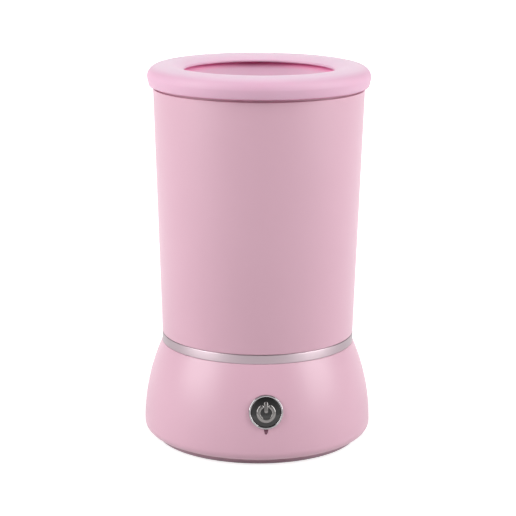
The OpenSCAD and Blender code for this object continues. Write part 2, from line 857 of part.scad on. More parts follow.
module base_shell() {
    post_top = -post_x * post_x / (2 * button_r) - base_wall / 2;
    color(PINK) difference() {
        union() {
            rotate_extrude() base_outline();
            cover_posts(deck_under + root);
            intersection() {
                cover_posts(plateau_under + root);
                cylinder(r = spigot_r - root, h = plateau_top);
            }
            in_button_frame() {
                translate([0, 0, -button_seat])
                    cylinder(r = button_boss_r, h = button_seat - base_wall / 2 - root);
                at_board_posts()
                    translate([0, 0, board_face]) cylinder(r = post_r, h = post_top - board_face);
            }
        }
        at_cover_posts()
            translate([0, 0, cover_boss_top - cut])
                cylinder(r = screw_r + seat_fit, h = screw_bite + 2 * cut);
        at_motor_screws() {
            translate([0, 0, plateau_under - cut]) cylinder(r = screw_r + loose, h = deck_t + 2 * cut);
            translate([0, 0, plateau_top - screw_head_h - motor_screw_sink])
                cylinder(r = screw_head_r + loose, h = screw_head_h + cut);
        }
        key_r = spigot_r - key_deep;
        for (i = [0:key_count - 1])
            rotate([0, 0, i * 360 / key_count])
                translate([key_r, -key_w / 2 - lift_fit, ring_top])
                    cube([key_deep + cut, key_w + 2 * lift_fit, plateau_rise + cut]);
        in_button_frame() {
            translate([0, 0, -button_seat - cut])
                cylinder(r = bezel_r + seat_fit, h = button_seat + 2 * cut);
            translate([0, -lens_drop, -button_seat - cut])
                linear_extrude(button_seat + 2 * cut) {
                    drop(seat_fit);
                    translate([lens_tip_r - lens_w / 2, 0])
                        square([lens_w - 2 * lens_tip_r, lens_h / 2 + lens_gap + cut]);
                }
            at_board_posts()
                translate([0, 0, board_face - cut]) cylinder(r = pilot_r, h = small_bite + 2 * cut);
        }
        translate([0, usb_face + 2 * cut, usb_z])
            rotate([90, 0, 0]) slot(usb_w + 2 * usb_fit, usb_h + 2 * usb_fit, base_wall + 4 * cut);
    }
}

module trim_ring() {
    bevel = 0.3;
    color(SILVER) half_section([
        [spigot_r + seat_fit, shell_top],
        [ring_r - bevel, shell_top],
        [ring_r, shell_top + bevel],
        [ring_r, ring_top - bevel],
        [ring_r - bevel, ring_top],
        [spigot_r + seat_fit, ring_top]
    ]);
}

module bottom_cover() {
    rim_r = opening_r - slide_fit;
    post_h = charge_under - cover_top;
    color(PINK) difference() {
        union() {
            half_section([
                [0, cover_z],
                [cover_r, cover_z],
                [cover_r, shell_z],
                [rim_r, shell_z],
                [rim_r, cover_top + cover_rim_h],
                [rim_r - cover_rim_t, cover_top + cover_rim_h],
                [rim_r - cover_rim_t, cover_top],
                [0, cover_top]
            ]);
            at_cover_posts()
                translate([0, 0, cover_top - root])
                    cylinder(r = cover_boss_r, h = cover_boss_h + root);
            at_charge_posts()
                translate([0, 0, cover_top - root]) cylinder(r = charge_post_r, h = post_h + root);
            for (side = [-1, 1])
                translate([side * saddle_x - saddle_t / 2, cell_y - cell_r, cover_top - root])
                    cube([saddle_t, cell_d, saddle_h + root]);
        }
        at_cover_posts() {
            translate([0, 0, cover_z - cut])
                cylinder(r = screw_well_r, h = screw_recess + screw_head_h + cut);
            translate([0, 0, cover_z - cut])
                cylinder(r = screw_r + loose, h = cover_boss_top - cover_z + 2 * cut);
        }
        at_charge_posts()
            translate([0, 0, cover_top]) cylinder(r = small_screw_r + seat_fit, h = post_h + cut);
        translate([-cell_l / 2, cell_y, cell_z])
            rotate([0, 90, 0]) cylinder(r = cell_r + seat_fit, h = cell_l);
    }
}

module foot_ring() {
    color(MAUVE) tube(foot_r, foot_r - foot_w, foot_t);
}

module cover_screws() {
    color(STEEL) at_cover_posts()
        translate([0, 0, cover_z + screw_recess + screw_head_h])
            screw(screw_r, screw_head_r, screw_head_h, screw_bite);
}

// The button cluster

module button_bezel() {
    color(CHROME) in_button_frame() difference() {
        union() {
            translate([0, 0, -button_seat - bezel_flange_t])
                cylinder(r = bezel_r, h = button_seat + bezel_flange_t + bezel_proud);
            intersection() {
                translate([0, 0, -button_seat - bezel_flange_t])
                    cylinder(r = bezel_flange_r, h = bezel_flange_t);
                translate([-bezel_flange_r, -bezel_flat, -button_seat - bezel_flange_t - cut])
                    cube([2 * bezel_flange_r, bezel_flat + bezel_flange_r, bezel_flange_t + 2 * cut]);
            }
        }
        translate([0, 0, -button_seat - bezel_flange_t - cut])
            cylinder(r = bezel_in_r, h = button_seat + bezel_flange_t + bezel_proud + 2 * cut);
    }
}

module power_button() {
    bevel = 0.35;
    color(GUNMETAL) in_button_frame() half_section([
        [0, cap_back],
        [cap_flange_r, cap_back],
        [cap_flange_r, cap_back + cap_flange_t],
        [cap_r, cap_back + cap_flange_t],
        [cap_r, cap_proud - bevel],
        [cap_r - bevel, cap_proud],
        [0, cap_proud]
    ]);
}

// The power sign: a ring that is open at the top, with a bar in the gap
module power_symbol() {
    half = symbol_line / 2;
    color(CHROME) in_button_frame() translate([0, -symbol_drop, cap_proud]) {
        rotate([0, 0, 90 + symbol_gap])
            rotate_extrude(angle = 360 - 2 * symbol_gap)
                translate([symbol_r - half, 0]) square([symbol_line, symbol_raise]);
        linear_extrude(symbol_raise) {
            translate([-half, half]) square([symbol_line, symbol_r]);
            translate([0, half]) circle(r = half);
            translate([0, half + symbol_r]) circle(r = half);
        }
    }
}

module indicator_lens() {
    color("#5A2A40") in_button_frame()
        translate([0, -lens_drop, lens_back]) linear_extrude(lens_front - lens_back) drop();
}

module indicator_led() {
    color(WHITE) in_button_frame()
        translate([-led[0] / 2, -lens_drop - led[1] / 2, board_face]) cube([led[0], led[1], led_t]);
}

module switch_plunger() {
    color(BLACK) in_button_frame()
        translate([0, 0, cap_back - plunger_l]) cylinder(r = plunger_r, h = plunger_l);
}

module tact_switch() {
    color(BLACK) in_button_frame() difference() {
        translate([-switch_w / 2, -switch_w / 2, board_face]) cube([switch_w, switch_w, switch_t]);
        translate([0, 0, switch_top - switch_deep])
            cylinder(r = plunger_r + slide_fit, h = switch_deep + cut);
    }
}

module control_board() {
    color(GREEN) in_button_frame() difference() {
        translate([-board_w / 2, -board_down, board_back]) cube([board_w, board_down + board_up, board_t]);
        at_board_posts()
            translate([0, 0, board_back - cut])
                cylinder(r = small_screw_r + loose, h = board_t + 2 * cut);
    }
}

module control_chip() {
    color(BLACK) in_button_frame()
        translate([-chip[0] / 2, chip_y - chip[1] / 2, board_back - chip[2]]) cube(chip);
}

module board_screws() {
    color(STEEL) in_button_frame() at_board_posts()
        translate([0, 0, board_back])
            screw(small_screw_r, small_head_r, small_head_h, board_t + small_bite);
}

// The motor

module motor_can() {
    color(STEEL) difference() {
        half_section([
            [motor_r - can_t, motor_back],
            [motor_r, motor_back],
            [motor_r, motor_face],
            [motor_boss_r, motor_face],
            [motor_boss_r, motor_face + motor_boss_h],
            [shaft_r + running_fit, motor_face + motor_boss_h],
            [shaft_r + running_fit, motor_face - can_t],
            [motor_r - can_t, motor_face - can_t]
        ]);
        at_motor_screws()
            translate([0, 0, motor_face - can_t - cut])
                cylinder(r = screw_r + seat_fit, h = can_t + 2 * cut);
    }
}

module motor_magnets() {
    color(BLACK) translate([0, 0, magnet_z])
        sectors(motor_r - can_t - seat_fit, motor_r - can_t - magnet_t, magnet_h,
            magnet_count, magnet_angle);
}

module motor_end_cap() {
    color(WHITE) difference() {
        half_section([
            [shaft_r + running_fit, motor_back - end_cap_t],
            [motor_r, motor_back - end_cap_t],
            [motor_r, motor_back],
            [motor_r - can_t - seat_fit, motor_back],
            [motor_r - can_t - seat_fit, motor_back + end_cap_plug],
            [shaft_r + running_fit, motor_back + end_cap_plug]
        ]);
        motor_terminal_slots(seat_fit);
    }
}

module motor_terminal_slots(grow) {
    size = [terminal_t + 2 * grow, terminal_w + 2 * grow, terminal_l + end_cap_t - cut];
    for (side = [-1, 1])
        translate([side * terminal_x - size[0] / 2, -size[1] / 2, motor_back - end_cap_t - terminal_l])
            cube(size);
}

module motor_terminals() {
    color(BRONZE) motor_terminal_slots(0);
}

module motor_gasket() {
    color(RUBBER) difference() {
        translate([0, 0, motor_face]) tube(motor_r - 2 * loose, motor_boss_r + loose, gasket_t);
        at_motor_screws()
            translate([0, 0, motor_face - cut]) cylinder(r = screw_r + loose, h = gasket_t + 2 * cut);
    }
}

module motor_screws() {
    length = deck_t - screw_head_h + gasket_t + can_t;
    color(STEEL) at_motor_screws()
        translate([0, 0, plateau_top - screw_head_h - motor_screw_sink])
            mirror([0, 0, 1]) screw(screw_r, screw_head_r, screw_head_h, length);
}

module motor_shaft() {
    color(STEEL) translate([0, 0, shaft_z]) cylinder(r = shaft_r, h = shaft_top - shaft_z);
}

module armature() {
    pole_r = motor_r - can_t - magnet_t - air_gap;
    color("#7A3B1E") translate([0, 0, core_z]) difference() {
        union() {
            cylinder(r = core_r, h = core_h);
            sectors(pole_r, core_r - root, core_h, pole_count, pole_angle);
        }
        translate([0, 0, -cut]) cylinder(r = shaft_r + seat_fit, h = core_h + 2 * cut);
    }
}

module commutator() {
    color(BRONZE) translate([0, 0, commutator_z]) tube(commutator_r, shaft_r + seat_fit, commutator_h);
}

module drive_dog() {
    angle = 180 / lug_count - lug_play;
    color(BLACK) difference() {
        union() {
            translate([0, 0, dog_z]) cylinder(r = dog_r, h = dog_t);
            translate([0, 0, lug_z - root]) cylinder(r = dog_boss_r, h = dog_boss_h + root);
            rotate([0, 0, 180 / lug_count])
                translate([0, 0, lug_z - root])
                    sectors(lug_r, lug_in_r, lug_h + root, lug_count, angle);
        }
        translate([0, 0, dog_z - cut])
            cylinder(r = shaft_r + seat_fit, h = shaft_top - dog_z + seat_fit + cut);
    }
}

// Battery and charging

module battery_cell() {
    color("#4C7FB8") translate([-cell_l / 2, cell_y, cell_z])
        rotate([0, 90, 0]) cylinder(r = cell_r, h = cell_l);
}

module battery_tabs() {
    color(STEEL) for (side = [-1, 1])
        translate([side * (cell_l + tab_t) / 2, cell_y, cell_z])
            rotate([0, 90, 0]) cylinder(r = tab_r, h = tab_t, center = true);
}

module usb_socket() {
    color(STEEL) translate([0, usb_face, usb_z]) rotate([90, 0, 0]) difference() {
        slot(usb_w, usb_h, usb_l);
        translate([0, 0, -cut])
            slot(usb_w - 2 * usb_skin, usb_h - 2 * usb_skin, usb_l - usb_skin + cut);
    }
}

module usb_tongue() {
    color(BLACK) translate([-tongue[0] / 2, usb_face - usb_l + usb_skin, usb_z - tongue[2] / 2])
        cube(tongue);
}

module charge_board() {
    color(GREEN) difference() {
        translate([-charge_w / 2, charge_front, charge_under])
            cube([charge_w, charge_back - charge_front, board_t]);
        at_charge_posts()
            translate([0, 0, charge_under - cut])
                cylinder(r = small_screw_r + loose, h = board_t + 2 * cut);
    }
}

module charge_board_screws() {
    color(STEEL) at_charge_posts()
        translate([0, 0, charge_top])
            mirror([0, 0, 1]) screw(small_screw_r, small_head_r, small_head_h, board_t + small_bite);
}

// Three leads on the +X side: motor to control board, battery to charging board, and one board to the other
module leads() {
    out_of_board = [0, cos(button_tilt), -sin(button_tilt)];

    motor_end = [terminal_x, 0, motor_back - end_cap_t - terminal_l];
    motor_pad = at_button([motor_pad_x, motor_pad_y, board_back]);
    motor_via = [terminal_x, motor_pad[1] / 2, motor_end[2] - lead_d];
    lead([motor_end, [0, 0, -2 * lead_d], motor_via, [0, -lead_bend, 0],
        motor_pad, lead_bend * out_of_board], [1, 0, 0]);

    cell_end = [cell_l / 2 + tab_t, cell_y, cell_z];
    cell_pad = [charge_post_x, (charge_post_y + small_head_r + charge_back) / 2, charge_top];
    cell_via = [cell_l / 2 + lead_clear, cell_y + cell_r + lead_d, cell_z + lead_clear];
    lead([cell_end, [lead_clear, 0, 0], cell_via, lead_clear * [-1, 1.4, 0.7],
        cell_pad, [0, 0, lead_bend]], [0.5, 0.4, 1]);

    power_pad = [power_pad_x, charge_front + power_pad_y, charge_top];
    board_pad = at_button([board_pad_x, board_pad_y, board_back]);
    power_via = [motor_r + lead_bend, cell_y / 5, cell_z + cell_r + lead_bend];
    lead([power_pad, [0, 0, 2 * lead_bend], power_via, [0, -2 * lead_bend, 0],
        board_pad, 1.6 * lead_bend * out_of_board], [1, 0, 0]);
}

module red_leads() {
    color("#B3262B") leads();
}

module black_leads() {
    color(BLACK) mirror([1, 0, 0]) leads();
}

lid_ring();
cup_shell();
spindle_bush();
lip_seal();
thrust_washer();
spindle();
pad_carrier();
scrub_pad();
driven_dog();
base_shell();
trim_ring();
bottom_cover();
foot_ring();
cover_screws();
button_bezel();
indicator_lens();
control_board();
control_chip();
indicator_led();
tact_switch();
board_screws();
motor_can();
motor_end_cap();
motor_magnets();
motor_terminals();
motor_gasket();
motor_screws();
battery_cell();
battery_tabs();
usb_socket();
usb_tongue();
charge_board();
charge_board_screws();
red_leads();
black_leads();
motor_shaft();
armature();
commutator();
drive_dog();
power_button();
power_symbol();
switch_plunger();
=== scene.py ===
import math
import bmesh
import bpy
from mathutils import Matrix, Vector


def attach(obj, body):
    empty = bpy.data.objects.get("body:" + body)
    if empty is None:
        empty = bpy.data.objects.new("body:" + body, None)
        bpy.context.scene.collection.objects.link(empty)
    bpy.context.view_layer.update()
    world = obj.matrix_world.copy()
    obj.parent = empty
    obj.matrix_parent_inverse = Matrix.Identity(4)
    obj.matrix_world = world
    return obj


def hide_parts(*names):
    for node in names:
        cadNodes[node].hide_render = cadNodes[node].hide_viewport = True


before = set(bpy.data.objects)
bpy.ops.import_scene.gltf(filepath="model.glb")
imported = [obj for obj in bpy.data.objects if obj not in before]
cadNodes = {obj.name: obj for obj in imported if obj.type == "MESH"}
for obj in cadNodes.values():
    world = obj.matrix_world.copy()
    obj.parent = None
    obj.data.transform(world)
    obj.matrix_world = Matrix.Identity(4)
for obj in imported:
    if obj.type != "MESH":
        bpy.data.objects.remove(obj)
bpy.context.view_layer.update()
mm = 0.001
scene = bpy.context.scene
scene.view_settings.view_transform = "Standard"

# the camera: millimetres and degrees

cameraSet = {"distance": 704.9, "height": 237.5, "azimuth": -4.5, "pitch": 13.17, "roll": 0.355,
             "lens": 125.84, "sensor": 36, "near": 10}


def placeCamera(s):
    camera = bpy.data.objects.new("photoCamera", bpy.data.cameras.new("photoCamera"))
    turn = math.radians(s["azimuth"])
    place = Vector((math.sin(turn) * s["distance"], -math.cos(turn) * s["distance"], s["height"])) * mm
    aim = (Matrix.Rotation(turn, 4, "Z")
           @ Matrix.Rotation(math.radians(90 - s["pitch"]), 4, "X")
           @ Matrix.Rotation(math.radians(s["roll"]), 4, "Z"))
    camera.matrix_world = Matrix.Translation(place) @ aim
    camera.data.lens = s["lens"]
    camera.data.sensor_width = s["sensor"]
    camera.data.clip_start = s["near"] * mm
    scene.collection.objects.link(camera)
    scene.camera = camera


placeCamera(cameraSet)


# sRGB hex to linear
def hexColour(code):
    channels = [int(code[i:i + 2], 16) / 255 for i in (0, 2, 4)]
    linear = [c / 12.92 if c <= 0.04045 else ((c + 0.055) / 1.055) ** 2.4 for c in channels]
    return (*linear, 1.0)


def addNode(tree, kind, settings=None, links=None):
    node = tree.nodes.new(kind)
    for key, value in (settings or {}).items():
        if isinstance(key, int) or key in node.inputs:
            node.inputs[key].default_value = value
        else:
            setattr(node, key, value)
    for key, source in (links or {}).items():
        tree.links.new(source, node.inputs[key])
    return node


def newMaterial(name):
    material = bpy.data.materials.new(name)
    material.use_nodes = True
    material.node_tree.nodes.clear()
    return material, material.node_tree


# 1 for a ray from the camera, a mirror or glass, and 0 for one that only carries light
def seenRays(tree):
    path = addNode(tree, "ShaderNodeLightPath")
    mirrored = addNode(tree, "ShaderNodeMath", {"operation": "MAXIMUM"},
                       {0: path.outputs["Is Glossy Ray"], 1: path.outputs["Is Transmission Ray"]})
    return addNode(tree, "ShaderNodeMath", {"operation": "MAXIMUM"},
                   {0: path.outputs["Is Camera Ray"], 1: mirrored.outputs[0]})


# floor and light: metres, degrees and watts, apart from the floor's drop in millimetres

floorSet = {"half": 5.0, "drop": 0.2, "paper": "C8C7C7", "rough": 0.9, "glow": (0.70, 1.0),
            "glowFrom": 0.09, "glowTo": 0.28}


# matt studio paper, lifted to white where it is looked at or mirrored, less so near the object's shadow
def layFloor(s):
    half, z = s["half"], -s["drop"] * mm
    mesh = bpy.data.meshes.new("paperFloor")
    corners = [(-half, -half, z), (half, -half, z), (half, half, z), (-half, half, z)]
    mesh.from_pydata(corners, [], [(0, 1, 2, 3)])
    floor = bpy.data.objects.new("paperFloor", mesh)
    scene.collection.objects.link(floor)
    material, tree = newMaterial("studioPaper")
    seen = seenRays(tree)
    coords = addNode(tree, "ShaderNodeTexCoord")
    away = addNode(tree, "ShaderNodeVectorMath", {"operation": "LENGTH"}, {0: coords.outputs["Object"]})
    near, far = s["glow"]
    glow = addNode(tree, "ShaderNodeMapRange",
                   {"From Min": s["glowFrom"], "From Max": s["glowTo"], "To Min": near, "To Max": far},
                   {"Value": away.outputs["Value"]})
    lift = addNode(tree, "ShaderNodeMath", {"operation": "MULTIPLY"},
                   {0: seen.outputs[0], 1: glow.outputs[0]})
    paper = addNode(tree, "ShaderNodeBsdfPrincipled",
                    {"Base Color": hexColour(s["paper"]), "Roughness": s["rough"], "Specular IOR Level": 0.0,
                     "Emission Color": (1, 1, 1, 1)},
                    {"Emission Strength": lift.outputs[0]})
    addNode(tree, "ShaderNodeOutputMaterial", {}, {"Surface": paper.outputs[0]})
    mesh.materials.append(material)


layFloor(floorSet)

worldSet = {"fill": 0.03, "backdrop": 1.0, "ceiling": 0.32, "horizon": 0.10, "high": 0.45}


# a white backdrop that darkens towards the ceiling, with little light of its own
def lightWorld(s):
    world = bpy.data.worlds.new("studio")
    scene.world = world
    world.use_nodes = True
    tree = world.node_tree
    tree.nodes.clear()
    seen = seenRays(tree)
    coords = addNode(tree, "ShaderNodeTexCoord")
    way = addNode(tree, "ShaderNodeSeparateXYZ", {}, {0: coords.outputs["Generated"]})
    height = addNode(tree, "ShaderNodeMapRange",
                     {"From Min": s["horizon"], "From Max": s["high"],
                      "To Min": s["backdrop"], "To Max": s["ceiling"]},
                     {"Value": way.outputs["Z"]})
    level = addNode(tree, "ShaderNodeMix", {2: s["fill"]}, {0: seen.outputs[0], 3: height.outputs[0]})
    sky = addNode(tree, "ShaderNodeBackground", {"Color": (1, 1, 1, 1)}, {"Strength": level.outputs[0]})
    addNode(tree, "ShaderNodeOutputWorld", {}, {"Surface": sky.outputs[0]})


lightWorld(worldSet)

# two tall boxes high at the sides, a weak one behind and a weak one overhead
softBoxes = [
    {"name": "leftBox", "azimuth": -68.5, "away": 2.16, "up": 1.27, "aimAt": 0.55,
     "size": (1.75, 2.09), "watts": 69.0},
    {"name": "rightBox", "azimuth": 72, "away": 2.16, "up": 1.27, "aimAt": 0.55,
     "size": (1.60, 2.09), "watts": 65.3},
    {"name": "backBox", "azimuth": 180, "away": 1.30, "up": 0.74, "aimAt": 0.34,
     "size": (1.10, 1.00), "watts": 3.0},
    {"name": "topBox", "azimuth": 180, "away": 0.02, "up": 1.20, "aimAt": 0.0,
     "size": (0.90, 0.90), "watts": 1.2},
]


def hangSoftBox(s):
    lamp = bpy.data.lights.new(s["name"], "AREA")
    lamp.shape = "RECTANGLE"
    lamp.size, lamp.size_y = s["size"]
    lamp.energy = s["watts"]
    box = bpy.data.objects.new(s["name"], lamp)
    turn = math.radians(s["azimuth"] + cameraSet["azimuth"])
    place = Vector((math.sin(turn) * s["away"], -math.cos(turn) * s["away"], s["up"]))
    aim = Vector((0, 0, s["aimAt"])) - place
    box.matrix_world = Matrix.Translation(place) @ aim.to_track_quat("-Z", "Y").to_matrix().to_4x4()
    scene.collection.objects.link(box)


for softBox in softBoxes:
    hangSoftBox(softBox)
print("stage: camera, floor and", len(softBoxes), "soft boxes")

# finishes

noiseSet = {"patchDetail": 3.0, "grainDetail": 2.0, "grainLow": 0.3, "grainHigh": 0.7}


# lays painted light and shade over a colour: each colour goes where ramps over how far a face looks up, or
# lies from the axis in mm, allow it
def addPaintedLight(tree, coords, place, shade, paintedLight):
    facing = addNode(tree, "ShaderNodeSeparateXYZ", {}, {0: coords.outputs["Normal"]})
    level = addNode(tree, "ShaderNodeVectorMath", {"operation": "MULTIPLY", 1: (1, 1, 0)},
                    {0: place.outputs[0]})
    across = addNode(tree, "ShaderNodeVectorMath", {"operation": "LENGTH"}, {0: level.outputs[0]})
    measures = {"up": facing.outputs["Z"], "across": across.outputs["Value"]}
    for colour, ramps in paintedLight:
        most = {}
        for measure, start, full in ramps:
            share = addNode(tree, "ShaderNodeMapRange", {"From Min": start, "From Max": full},
                            {"Value": measures[measure], **most})
            most = {"To Max": share.outputs[0]}
        shade = addNode(tree, "ShaderNodeMix", {"data_type": "RGBA", 7: hexColour(colour)},
                        {0: share.outputs[0], 6: shade.outputs[2]})
    return shade


# what most finishes share: two close colours in patches, a grain in the roughness, and a fine relief.
# The grain of a blasted mould is about 0.1 mm: it is drawn several times coarser here, so that it shows.
def buildFinish(name, s):
    material, tree = newMaterial(name)
    coords = addNode(tree, "ShaderNodeTexCoord")
    place = addNode(tree, "ShaderNodeMapping", {"Scale": (1 / mm, 1 / mm, 1 / mm)},
                    {"Vector": coords.outputs["Object"]})
    patch = addNode(tree, "ShaderNodeTexNoise",
                    {"Scale": 1 / s["patchMm"], "Detail": noiseSet["patchDetail"]},
                    {"Vector": place.outputs[0]})
    grain = addNode(tree, "ShaderNodeTexNoise",
                    {"Scale": 1 / s["grainMm"], "Detail": noiseSet["grainDetail"]},
                    {"Vector": place.outputs[0]})
    light, dark = s["colours"]
    shade = addNode(tree, "ShaderNodeMix", {"data_type": "RGBA", 6: hexColour(light), 7: hexColour(dark)},
                    {0: patch.outputs["Fac"]})
    # painted light and shade, laid into the colour where a finish lists them
    if "paintedLight" in s:
        shade = addPaintedLight(tree, coords, place, shade, s["paintedLight"])
    smooth, coarse = s["rough"]
    rough = addNode(tree, "ShaderNodeMapRange",
                    {"From Min": noiseSet["grainLow"], "From Max": noiseSet["grainHigh"],
                     "To Min": smooth, "To Max": coarse},
                    {"Value": grain.outputs["Fac"]})
    relief = addNode(tree, "ShaderNodeBump", {"Strength": s["relief"], "Distance": s["depthMm"] * mm},
                     {"Height": grain.outputs["Fac"]})
    shader = addNode(tree, "ShaderNodeBsdfPrincipled", s["shader"],
                     {"Base Color": shade.outputs[2], "Roughness": rough.outputs[0],
                      "Normal": relief.outputs[0]})
    addNode(tree, "ShaderNodeOutputMaterial", {}, {"Surface": shader.outputs[0]})
    return material


finishes = {
    # silicone rubber from a blasted mould: soft satin pink, with a painted sheen that makes the faces that
    # look up paler, and painted shade that makes it deeper underneath and in the pocket behind the mouth's
    # lip
    "mouldedSilicone": {"colours": ("E2B6CD", "DDB0C7"), "patchMm": 26,
                        # painted sheen: a paler colour on the faces that look up
                        "paintedLight": [("E7CADB", [("up", 0.66, 1.0)]),
                                  # painted shade: a deeper colour on the faces that look down
                                  ("E27CAB", [("up", -0.5, -0.95)]),
                                  # painted shade: a deeper colour in the pocket under the mouth's lip,
                                  # between 30 and 36 mm from the axis
                                  ("E27CAB", [("up", 0.80, 0.66), ("across", 30.2, 31.8),
                                              ("across", 36.4, 36.0)])],
                        "grainMm": 0.9, "rough": (0.46, 0.54), "relief": 0.03, "depthMm": 0.02,
                        "shader": {"IOR": 1.43, "Subsurface Weight": 0.15,
                                   "Subsurface Radius": (1.0, 0.45, 0.6), "Subsurface Scale": 0.0012}},
    # ABS from a spark-eroded mould: even satin pink with broad, soft highlights
    "satinPinkAbs": {"colours": ("D4A9BA", "D0A5B6"), "patchMm": 34, "grainMm": 0.8, "rough": (0.35, 0.42),
                     "relief": 0.05, "depthMm": 0.02, "shader": {"IOR": 1.54}},
    # the same ABS darkened with painted shade, for the cover seen edge on under the base
    "paintedShadeAbs": {"colours": ("AD8794", "A57F8C"), "patchMm": 20, "grainMm": 0.8, "rough": (0.40, 0.50),
                 "relief": 0.05, "depthMm": 0.02, "shader": {"IOR": 1.54}},
    # thermoplastic rubber, moulded: dull, with a dusty bloom
    "footRubber": {"colours": ("A88C97", "9C808B"), "patchMm": 7, "grainMm": 0.7, "rough": (0.70, 0.85),
                   "relief": 0.20, "depthMm": 0.05, "shader": {"IOR": 1.50}},
    # black gloss ABS from a polished mould: nearly black, with clear reflections
    "pianoBlackAbs": {"colours": ("100F0F", "0C0B0B"), "patchMm": 3, "grainMm": 0.6, "rough": (0.08, 0.12),
                      "relief": 0.02, "depthMm": 0.01, "shader": {"IOR": 1.54}},
    # bright chrome plating on a small ring: clean reflections
    "brightChrome": {"colours": ("A8A4A6", "9F9B9D"), "patchMm": 4, "grainMm": 0.5, "rough": (0.08, 0.14),
                     "relief": 0.02, "depthMm": 0.01, "shader": {"Metallic": 1.0}},
    # the same plating over the sign, a little darker and duller
    "greyChrome": {"colours": ("827F7E", "787574"), "patchMm": 2, "grainMm": 0.5, "rough": (0.10, 0.16),
                   "relief": 0.02, "depthMm": 0.01, "shader": {"Metallic": 1.0}},
    # tinted polycarbonate light pipe, moulded: deep plum with a glassy face
    "plumPolycarbonate": {"colours": ("6A2A47", "57203A"), "patchMm": 1.2, "grainMm": 0.5,
                          "rough": (0.08, 0.14), "relief": 0.02, "depthMm": 0.01,
                          "shader": {"IOR": 1.58, "Subsurface Weight": 0.2,
                                     "Subsurface Radius": (1.0, 0.2, 0.4), "Subsurface Scale": 0.0008}},
    # silicone of the scrub pad, moulded: a little deeper in colour and softer than the lid
    "padSilicone": {"colours": ("E6A9C4", "DF9FBC"), "patchMm": 12, "grainMm": 0.8, "rough": (0.42, 0.52),
                    "relief": 0.06, "depthMm": 0.03,
                    "shader": {"IOR": 1.41, "Subsurface Weight": 0.3,
                               "Subsurface Radius": (1.0, 0.32, 0.5), "Subsurface Scale": 0.003}},
    # nylon, moulded: off-white and faintly waxy
    "mouldedNylon": {"colours": ("F1EDE6", "E6E0D6"), "patchMm": 9, "grainMm": 0.7, "rough": (0.42, 0.55),
                     "relief": 0.08, "depthMm": 0.02,
                     "shader": {"IOR": 1.53, "Subsurface Weight": 0.1, "Subsurface Scale": 0.001}},
    # black acetal, moulded: dense and slightly greasy
    "blackAcetal": {"colours": ("232223", "1B1A1B"), "patchMm": 6, "grainMm": 0.6, "rough": (0.34, 0.48),
                    "relief": 0.08, "depthMm": 0.02, "shader": {"IOR": 1.48}},
    # zinc-plated steel: cool grey with a cloudy bloom
    "zincSteel": {"colours": ("C3C5C9", "A9ABB0"), "patchMm": 2.5, "grainMm": 0.4, "rough": (0.24, 0.38),
                  "relief": 0.06, "depthMm": 0.01, "shader": {"Metallic": 1.0}},
    # ground spindle steel: brighter, with fine marks
    "groundSteel": {"colours": ("CFD0D2", "BDBEC1"), "patchMm": 1.5, "grainMm": 0.3, "rough": (0.16, 0.26),
                    "relief": 0.05, "depthMm": 0.01, "shader": {"Metallic": 1.0}},
    # sintered bronze: brown-gold and open-grained
    "sinteredBronze": {"colours": ("A9814C", "8E6838"), "patchMm": 1.0, "grainMm": 0.25,
                       "rough": (0.42, 0.60), "relief": 0.30, "depthMm": 0.03, "shader": {"Metallic": 1.0}},
    # rolled brass strip of the contacts: warm yellow, a little clouded
    "rolledBrass": {"colours": ("C9A25A", "B88F48"), "patchMm": 2.0, "grainMm": 0.3, "rough": (0.22, 0.34),
                    "relief": 0.04, "depthMm": 0.01, "shader": {"Metallic": 1.0}},
    # green solder mask over copper: glossy, with the tracks showing faintly
    "solderMask": {"colours": ("1F6B45", "2B7D52"), "patchMm": 2.2, "grainMm": 0.5, "rough": (0.20, 0.32),
                   "relief": 0.10, "depthMm": 0.03, "shader": {"IOR": 1.52}},
    # nitrile rubber of the seal and the gasket, moulded: black and dull
    "blackNitrile": {"colours": ("2B292A", "211F20"), "patchMm": 4, "grainMm": 0.5, "rough": (0.60, 0.78),
                     "relief": 0.15, "depthMm": 0.03, "shader": {"IOR": 1.52}},
    # pressed ferrite: charcoal and dry
    "pressedFerrite": {"colours": ("353436", "2A292B"), "patchMm": 1.5, "grainMm": 0.3,
                       "rough": (0.60, 0.75), "relief": 0.20, "depthMm": 0.03, "shader": {"IOR": 1.60}},
    # enamelled copper wire over the core: red-brown with a lacquer shine
    "enamelledCopper": {"colours": ("8A4524", "6E3318"), "patchMm": 1.2, "grainMm": 0.5,
                        "rough": (0.26, 0.40), "relief": 0.40, "depthMm": 0.10, "shader": {"Metallic": 0.7}},
    # PVC sleeve shrunk over the cell: blue, smooth and taut
    "shrinkSleeve": {"colours": ("3F74B0", "376AA4"), "patchMm": 8, "grainMm": 0.9, "rough": (0.22, 0.34),
                     "relief": 0.08, "depthMm": 0.05, "shader": {"IOR": 1.53}},
    # PVC drawn over the leads: smooth, with a soft shine
    "redPvc": {"colours": ("B3262B", "A31F25"), "patchMm": 3, "grainMm": 0.5, "rough": (0.30, 0.42),
               "relief": 0.05, "depthMm": 0.02, "shader": {"IOR": 1.53}},
    # the same in black
    "blackPvc": {"colours": ("242324", "1C1B1C"), "patchMm": 3, "grainMm": 0.5, "rough": (0.30, 0.42),
                 "relief": 0.05, "depthMm": 0.02, "shader": {"IOR": 1.53}},
}
made = {name: buildFinish(name, s) for name, s in finishes.items()}

# vacuum-metallised trim under a satin lacquer: turned lines draw each reflection into an upright streak
trimFinish = {"colours": ("AFA0A6", "A6979E"), "lineMm": 0.45, "stretchMm": 250, "detail": 2.0, "rough": 0.45,
              "streak": 0.6, "quarterTurn": 0.25, "relief": 0.04, "depthMm": 0.01}


